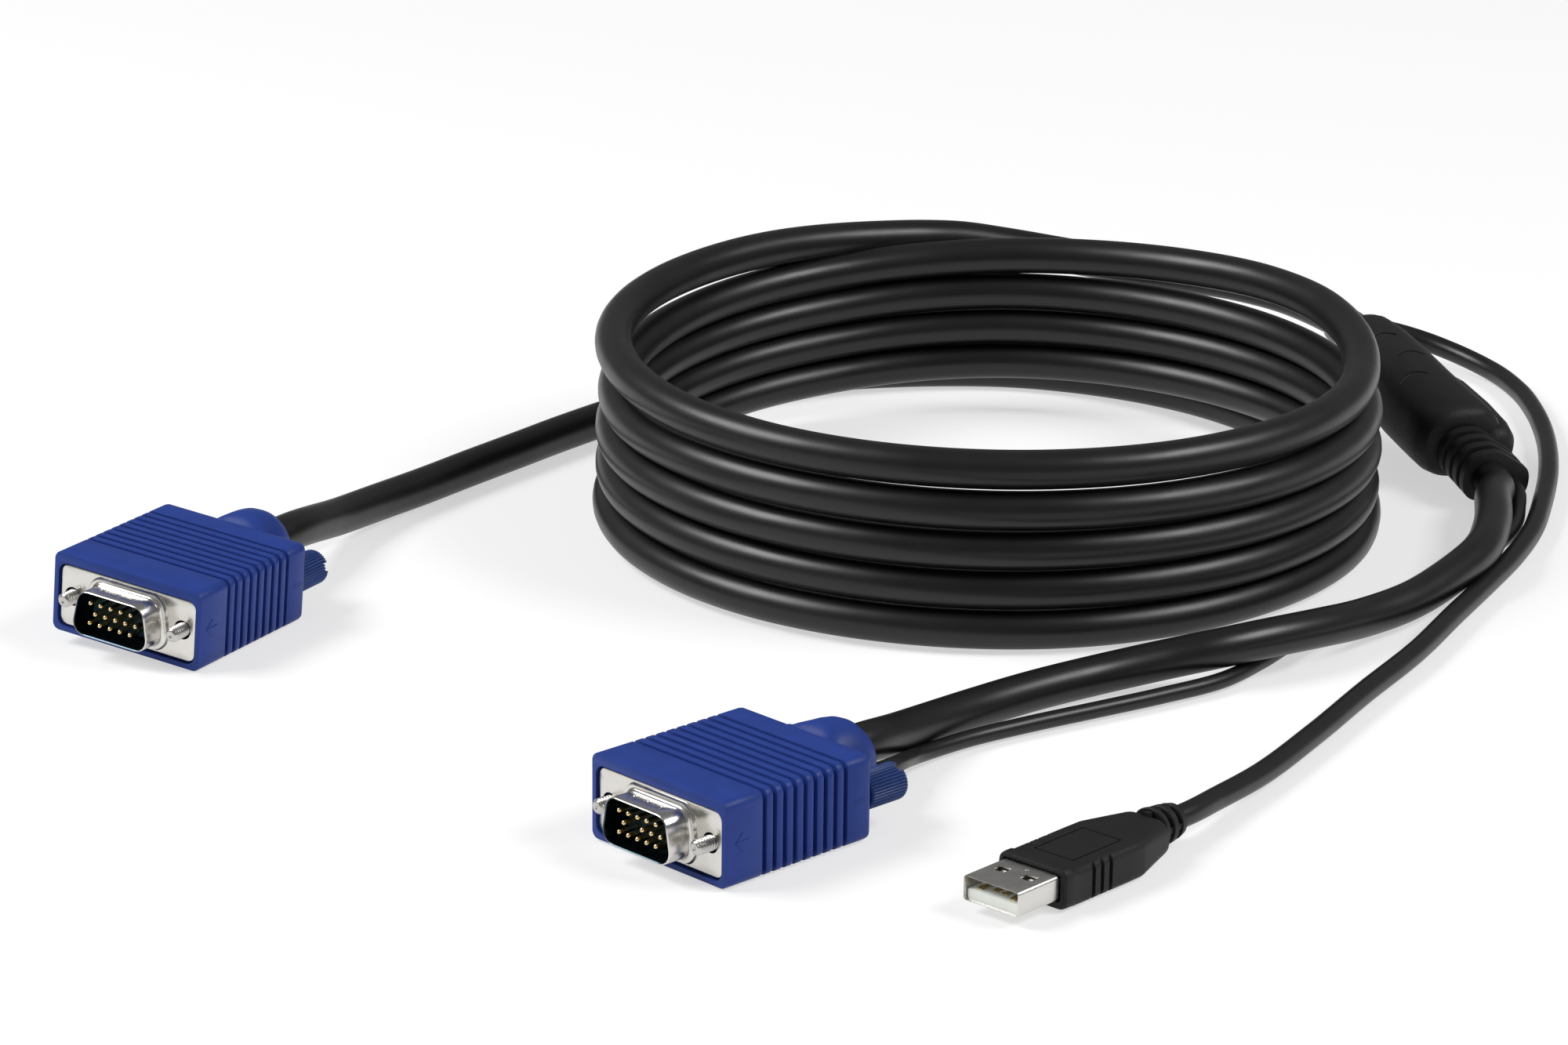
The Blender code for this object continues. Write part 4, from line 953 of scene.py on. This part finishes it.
def usb_tongue_mesh(name):
    """Tongue with a chamfered front edge."""
    rows = ((0.0108, 0.0017, 0.0006), (0.0110, 0.0019, 0.0008), (0.0110, 0.0019, 0.0118))
    return rounded_over(skin(name, [at(rounded(width, height, 0.0002, 0.0029, 3), y)
                                    for width, height, y in rows]), 35.0)


def usb_contact_mesh(name, x, start):
    """A contact strip that bows up from the tongue."""
    rows = ((start, 0.00390), (start + 0.0003, 0.00405), (start + 0.0030, 0.00415),
            (start + 0.0050, 0.00405), (0.0098, 0.00400))
    return rounded_over(skin(name, [at(rounded(0.0011, 0.0002, 0.00006, z, 2, x), y)
                                    for y, z in rows]), 40.0)


def dress_usb():
    """All the visible pieces of the USB plug."""
    show("usb_shell_fine", usb_shell_mesh("usb_shell_fine"), "nickel_plate", place=USB,
         replaces=("usb_shell",), finish="usb_plate")
    show("usb_springs", usb_spring_mesh("usb_springs"), "screw_steel", place=USB)
    show("usb_tongue_fine", usb_tongue_mesh("usb_tongue_fine"), "white_plastic", place=USB,
         replaces=("usb_tongue",))
    for number, (x, start) in enumerate(USB_CONTACTS, 1):
        show("usb_contact_strip_%d" % number, usb_contact_mesh("usb_contact", x, start),
             "gold_plate", place=USB, replaces=("usb_contact_%d" % number,))
    show("usb_grip", usb_mould_mesh("usb_grip"), "black_pvc", place=USB,
         replaces=("usb_overmould",))


def relief_outline(grow, count=64):
    """Squared outline round the thick cable and the thin one beside it."""
    points = []
    large = 0.0050 + grow
    small = 0.0037 + grow
    hole_x, hole_z = THIN_HOLE
    for k in range(count):
        angle = 2 * math.pi * k / count
        c = math.copysign(abs(math.cos(angle)) ** 0.8, math.cos(angle))
        s = math.copysign(abs(math.sin(angle)) ** 0.8, math.sin(angle))
        if hole_x * c + hole_z * s + small > large:
            points.append((hole_x + small * c, hole_z + small * s))
        else:
            points.append((large * c, large * s))
    return points


def splitter_mesh(name):
    """Moulding with a ridged strain relief, a second barrel at its side and three thumb grooves."""
    # Distance along, half width, half height and the centre's x and z in millimetres
    rows = ((13.0, 6.2, 6.0, 0.4, 0.4), (13.3, 7.0, 6.6, 0.6, 0.4), (13.8, 8.1, 7.3, 0.65, 0.4),
            (14.8, 8.7, 7.8, 0.6, 0.4), (17.0, 9.0, 8.2, 0.2, 0.4), (21.0, 8.9, 8.4, 0.0, 0.35),
            (26.0, 8.7, 8.5, -0.3, 0.3), (33.0, 8.6, 8.4, -0.7, 0.25), (40.0, 8.3, 8.2, -0.6, 0.2),
            (44.0, 8.05, 8.0, -0.4, 0.15), (48.0, 7.75, 7.7, -0.2, 0.1), (54.0, 7.1, 7.2, 0.3, 0.0),
            (58.0, 6.6, 6.8, 0.3, 0.0), (61.5, 6.1, 6.3, 0.2, 0.0), (63.2, 5.5, 5.7, 0.1, 0.0),
            (64.0, 4.6, 4.8, 0.0, 0.0))
    body = skin(name + "_body", [at(oval(w * MM, h * MM, 2.5, x * MM, z * MM), y * MM)
                                 for y, w, h, x, z in rows])
    ridge_rows = []
    for k in range(RIDGE_COUNT):
        start = RIDGE_PITCH * k
        ridge_rows += [(start, 0.0001), (start + 0.00012, 0.0004), (start + 0.0019, 0.0004),
                       (start + 0.0021, 0.0001), (start + 0.0022, -0.0008), (start + 0.0033, -0.0008)]
    ridge_rows.append((0.0165, -0.0008))
    ridges = skin(name + "_ridges", [at(relief_outline(grow), y) for y, grow in ridge_rows])
    lobe_rows = ((11.2, 1.2, 1.8), (11.5, 2.4, 2.9), (12.2, 3.4, 3.9), (13.5, 4.2, 4.6),
                 (17.0, 4.8, 5.1), (25.0, 4.8, 5.1), (35.2, 4.0, 4.6), (42.0, 2.6, 3.4))
    lobe = skin(name + "_lobe", [at(oval(w * MM, h * MM, 2.3, 0.0080, -0.0010, 36), y * MM)
                                 for y, w, h in lobe_rows])
    sleeve = turned(name + "_sleeve", [(0.0300, 0.0032), (0.0418, 0.0032), (0.0426, 0.0030),
                                       (USB_EXIT[1], 0.0026)], 28, (USB_EXIT[0], USB_EXIT[2]))
    steps = [("UNION", ridges), ("UNION", lobe), ("UNION", sleeve)]
    # Distance along, middle and half length of each groove, then the body's half width, centre, half
    # height and rise there, all in millimetres
    arcs = ((31.1, -4.0, 2.9, 8.65, -0.6, 8.44, 0.26), (40.5, -0.3, 2.9, 8.27, -0.58, 8.18, 0.2),
            (51.0, -1.7, 2.5, 7.42, 0.05, 7.45, 0.05))
    for y, x, half, width, centre, height, rise in arcs:
        line = []
        for k in range(9):
            share = (k - 4) / 4
            side = x + half * share
            surface = rise + height * (1 - abs((side - centre) / width) ** 2.5) ** 0.4
            line.append((side, y - 1.5 * share ** 2, surface))
        steps.append(("DIFFERENCE", sweep(name + "_arc", metres(line), 0.00045, 8)))
    return rounded_over(combined(name, body, steps), 30.0)


def straight_end(place, x, y, z, way=1.0):
    """Two points straight out of a hole in a piece, towards +y or, with way -1, towards -y."""
    return [place @ Vector((x, y + way * out, z)) for out in (GAP, GAP + END_STRAIGHT)]


def round_coil(angle, radius, height):
    """A point at a direction round the coil, given in degrees and millimetres."""
    way = math.radians(angle)
    return COIL_CENTRE + Vector((radius * math.cos(way), radius * math.sin(way), height)) * MM


def winding():
    """Centre line of the five turns, from the right of the first to the back of the last."""
    knots = [(direction - 360.0 * turn, radius, height)
             for turn, places in enumerate(TURNS) for direction, radius, height in places]
    points = []
    angle = knots[0][0]
    while angle > knots[-1][0]:
        k = max(i for i in range(len(knots) - 1) if knots[i][0] >= angle)
        before, here, there, after = (knots[min(max(i, 0), len(knots) - 1)] for i in range(k - 1, k + 3))
        span = there[0] - here[0]
        values = []
        for item in (1, 2):
            leave = (there[item] - before[item]) / (there[0] - before[0]) * span
            arrive = (after[item] - here[item]) / (after[0] - here[0]) * span
            values.append(eased(here[item], leave, there[item], arrive, (angle - here[0]) / span))
        points.append(round_coil(angle, *values))
        angle -= WINDING_STEP
    return points


def lay_cord(name, points, diameter, sides, nodes, spacing=0.0018):
    """A cord along its route, in place of the solids that hold it."""
    route = smooth_line(points, spacing)
    piece = show(name, sweep(name, route, diameter / 2, sides), "black_jacket", replaces=nodes)
    line_length(route)


def lay_cables():
    """The long cable with its coil, the two branches and the USB cable."""
    sizes = bpy.context.scene.cable_sizes
    neck_end = REAR_Y + NECK_LENGTH
    approach = [round_coil(*place) for place in APPROACH]
    long_cable = (straight_end(PLUG_A, 0.0, neck_end, NECK_AXIS_Z) + metres(LEAD_IN) + approach
                  + winding() + metres(LEAD_OUT)
                  + straight_end(SPLITTER, 0.0, SPLITTER_LENGTH, 0.0)[::-1])
    lay_cord("long_cable", long_cable, sizes.thick_diameter, 24,
             ("cable_to_coil", "coil", "cable_from_coil"), 0.0022)

    branch_x, branch_z = BRANCH_ENTRY
    branch = (straight_end(SPLITTER, 0.0, 0.0, 0.0, -1.0) + metres(VGA_BRANCH)
              + straight_end(PLUG_B, branch_x, neck_end, branch_z)[::-1])
    lay_cord("video_branch_fine", branch, sizes.thick_diameter, 24, ("video_branch",))

    hole_x, hole_z = THIN_HOLE
    entry_x, entry_z = THIN_ENTRY
    thin = (straight_end(SPLITTER, hole_x, 0.0, hole_z, -1.0) + metres(THIN_BRANCH)
            + straight_end(PLUG_B, entry_x, neck_end, entry_z)[::-1])
    lay_cord("thin_branch_fine", thin, sizes.thin_diameter, 18, ("thin_branch",))

    usb = (straight_end(SPLITTER, *USB_EXIT) + metres(USB_CABLE)
           + straight_end(USB, 0.0, RELIEF_END, RELIEF_AXIS_Z)[::-1])
    lay_cord("usb_cable_fine", usb, sizes.usb_diameter, 20, ("usb_cable",))


def lay_floor():
    """The plain sheet that the cable lies on."""
    mesh = bmesh.new()
    bmesh.ops.create_grid(mesh, x_segments=1, y_segments=1, size=FLOOR_SIZE)
    data = bpy.data.meshes.new("floor")
    mesh.to_mesh(data)
    mesh.free()
    data.materials.append(paper("paper", PAPER))
    floor = linked("floor", data)
    floor.location = (0.0, 0.0, FLOOR_Z)


def light_world():
    """An even dim light from all round."""
    world = bpy.data.worlds.new("studio")
    world.use_nodes = True
    nodes = Nodes(world.node_tree)
    glow = nodes.node("ShaderNodeBackground", sockets={"Strength": WORLD_STRENGTH})
    nodes.node("ShaderNodeOutputWorld", sockets={"Surface": glow})
    bpy.context.scene.world = world


def hang_lamp(name, place, size, power):
    """A soft rectangular lamp that points at the cable."""
    lamp = bpy.data.lights.new(name, "AREA")
    lamp.shape = "RECTANGLE"
    lamp.size, lamp.size_y = size
    lamp.energy = power
    item = linked(name, lamp)
    item.location = place
    item.rotation_euler = (LAMP_TARGET - Vector(place)).to_track_quat("-Z", "Y").to_euler()


def stand_camera():
    """The camera where the photograph was taken from."""
    view = bpy.data.cameras.new("photo_view")
    view.sensor_width = SENSOR_WIDTH
    view.lens = FOCAL_PIXELS / PHOTO_WIDTH * SENSOR_WIDTH
    view.clip_start = 0.05
    view.clip_end = 20.0
    ahead = Vector((0.0, math.cos(CAMERA_PITCH), -math.sin(CAMERA_PITCH)))
    up = Vector((0.0, math.sin(CAMERA_PITCH), math.cos(CAMERA_PITCH)))
    right = Vector((1.0, 0.0, 0.0))
    tilted_right = right * math.cos(CAMERA_ROLL) + up * math.sin(CAMERA_ROLL)
    tilted_up = up * math.cos(CAMERA_ROLL) - right * math.sin(CAMERA_ROLL)
    turn = Matrix((tilted_right, tilted_up, -ahead)).transposed()
    camera = linked("photo_view", view)
    camera.matrix_world = Matrix.LocRotScale(CAMERA_PLACE, turn.to_quaternion(), None)
    bpy.context.scene.camera = camera


def build_stage():
    """Floor, lights and camera."""
    bpy.context.scene.view_settings.view_transform = "Standard"
    lay_floor()
    light_world()
    for name, (place, size, power) in LAMPS.items():
        hang_lamp(name, place, size, power)
    stand_camera()


class CABLE_OT_stage(bpy.types.Operator):
    """Floor, studio light and the camera"""
    bl_idname = "cable.stage"
    bl_label = "Stage"

    def execute(self, context):
        build_stage()
        return {"FINISHED"}


class CABLE_OT_video_plugs(bpy.types.Operator):
    """Both video plugs with their shells, contacts and thumbscrews"""
    bl_idname = "cable.video_plugs"
    bl_label = "Video plugs"

    def execute(self, context):
        for prefix, details in VIDEO_PLUGS.items():
            dress_plug(prefix, *details)
        return {"FINISHED"}


class CABLE_OT_usb_plug(bpy.types.Operator):
    """USB plug with its shell, tongue, contacts and grip"""
    bl_idname = "cable.usb_plug"
    bl_label = "USB plug"

    def execute(self, context):
        dress_usb()
        return {"FINISHED"}


class CABLE_OT_splitter(bpy.types.Operator):
    """Moulded splitter with its strain relief"""
    bl_idname = "cable.splitter"
    bl_label = "Splitter"

    def execute(self, context):
        show("splitter_fine", splitter_mesh("splitter_fine"), "black_pvc", place=SPLITTER,
             replaces=("splitter_body",))
        return {"FINISHED"}


class CABLE_OT_cables(bpy.types.Operator):
    """Wound long cable, the two branches and the USB cable"""
    bl_idname = "cable.cables"
    bl_label = "Cables"

    def execute(self, context):
        lay_cables()
        return {"FINISHED"}


class CABLE_PT_panel(bpy.types.Panel):
    """Sizes, colours and builders of the cable"""
    bl_idname = "CABLE_PT_panel"
    bl_label = "KVM cable"
    bl_space_type = "VIEW_3D"
    bl_region_type = "UI"
    bl_category = "KVM cable"

    def draw(self, context):
        layout = self.layout
        for name in CableSettings.__annotations__:
            layout.prop(context.scene.cable_sizes, name)
        for name in FinishSettings.__annotations__:
            layout.prop(context.scene.cable_finish, name)
        for kind in OPERATORS:
            layout.operator(kind.bl_idname)


OPERATORS = (CABLE_OT_stage, CABLE_OT_video_plugs, CABLE_OT_usb_plug, CABLE_OT_splitter,
             CABLE_OT_cables)
CLASSES = (CableSettings, FinishSettings) + OPERATORS + (CABLE_PT_panel,)


def register():
    for kind in CLASSES:
        bpy.utils.register_class(kind)
    bpy.types.Scene.cable_sizes = PointerProperty(type=CableSettings)
    bpy.types.Scene.cable_finish = PointerProperty(type=FinishSettings)


def unregister():
    del bpy.types.Scene.cable_finish
    del bpy.types.Scene.cable_sizes
    for kind in reversed(CLASSES):
        bpy.utils.unregister_class(kind)


def main():
    register()
    for kind in OPERATORS:
        group, action = kind.bl_idname.split(".")
        getattr(getattr(bpy.ops, group), action)()
    bpy.context.view_layer.update()


if __name__ == "__main__":
    main()
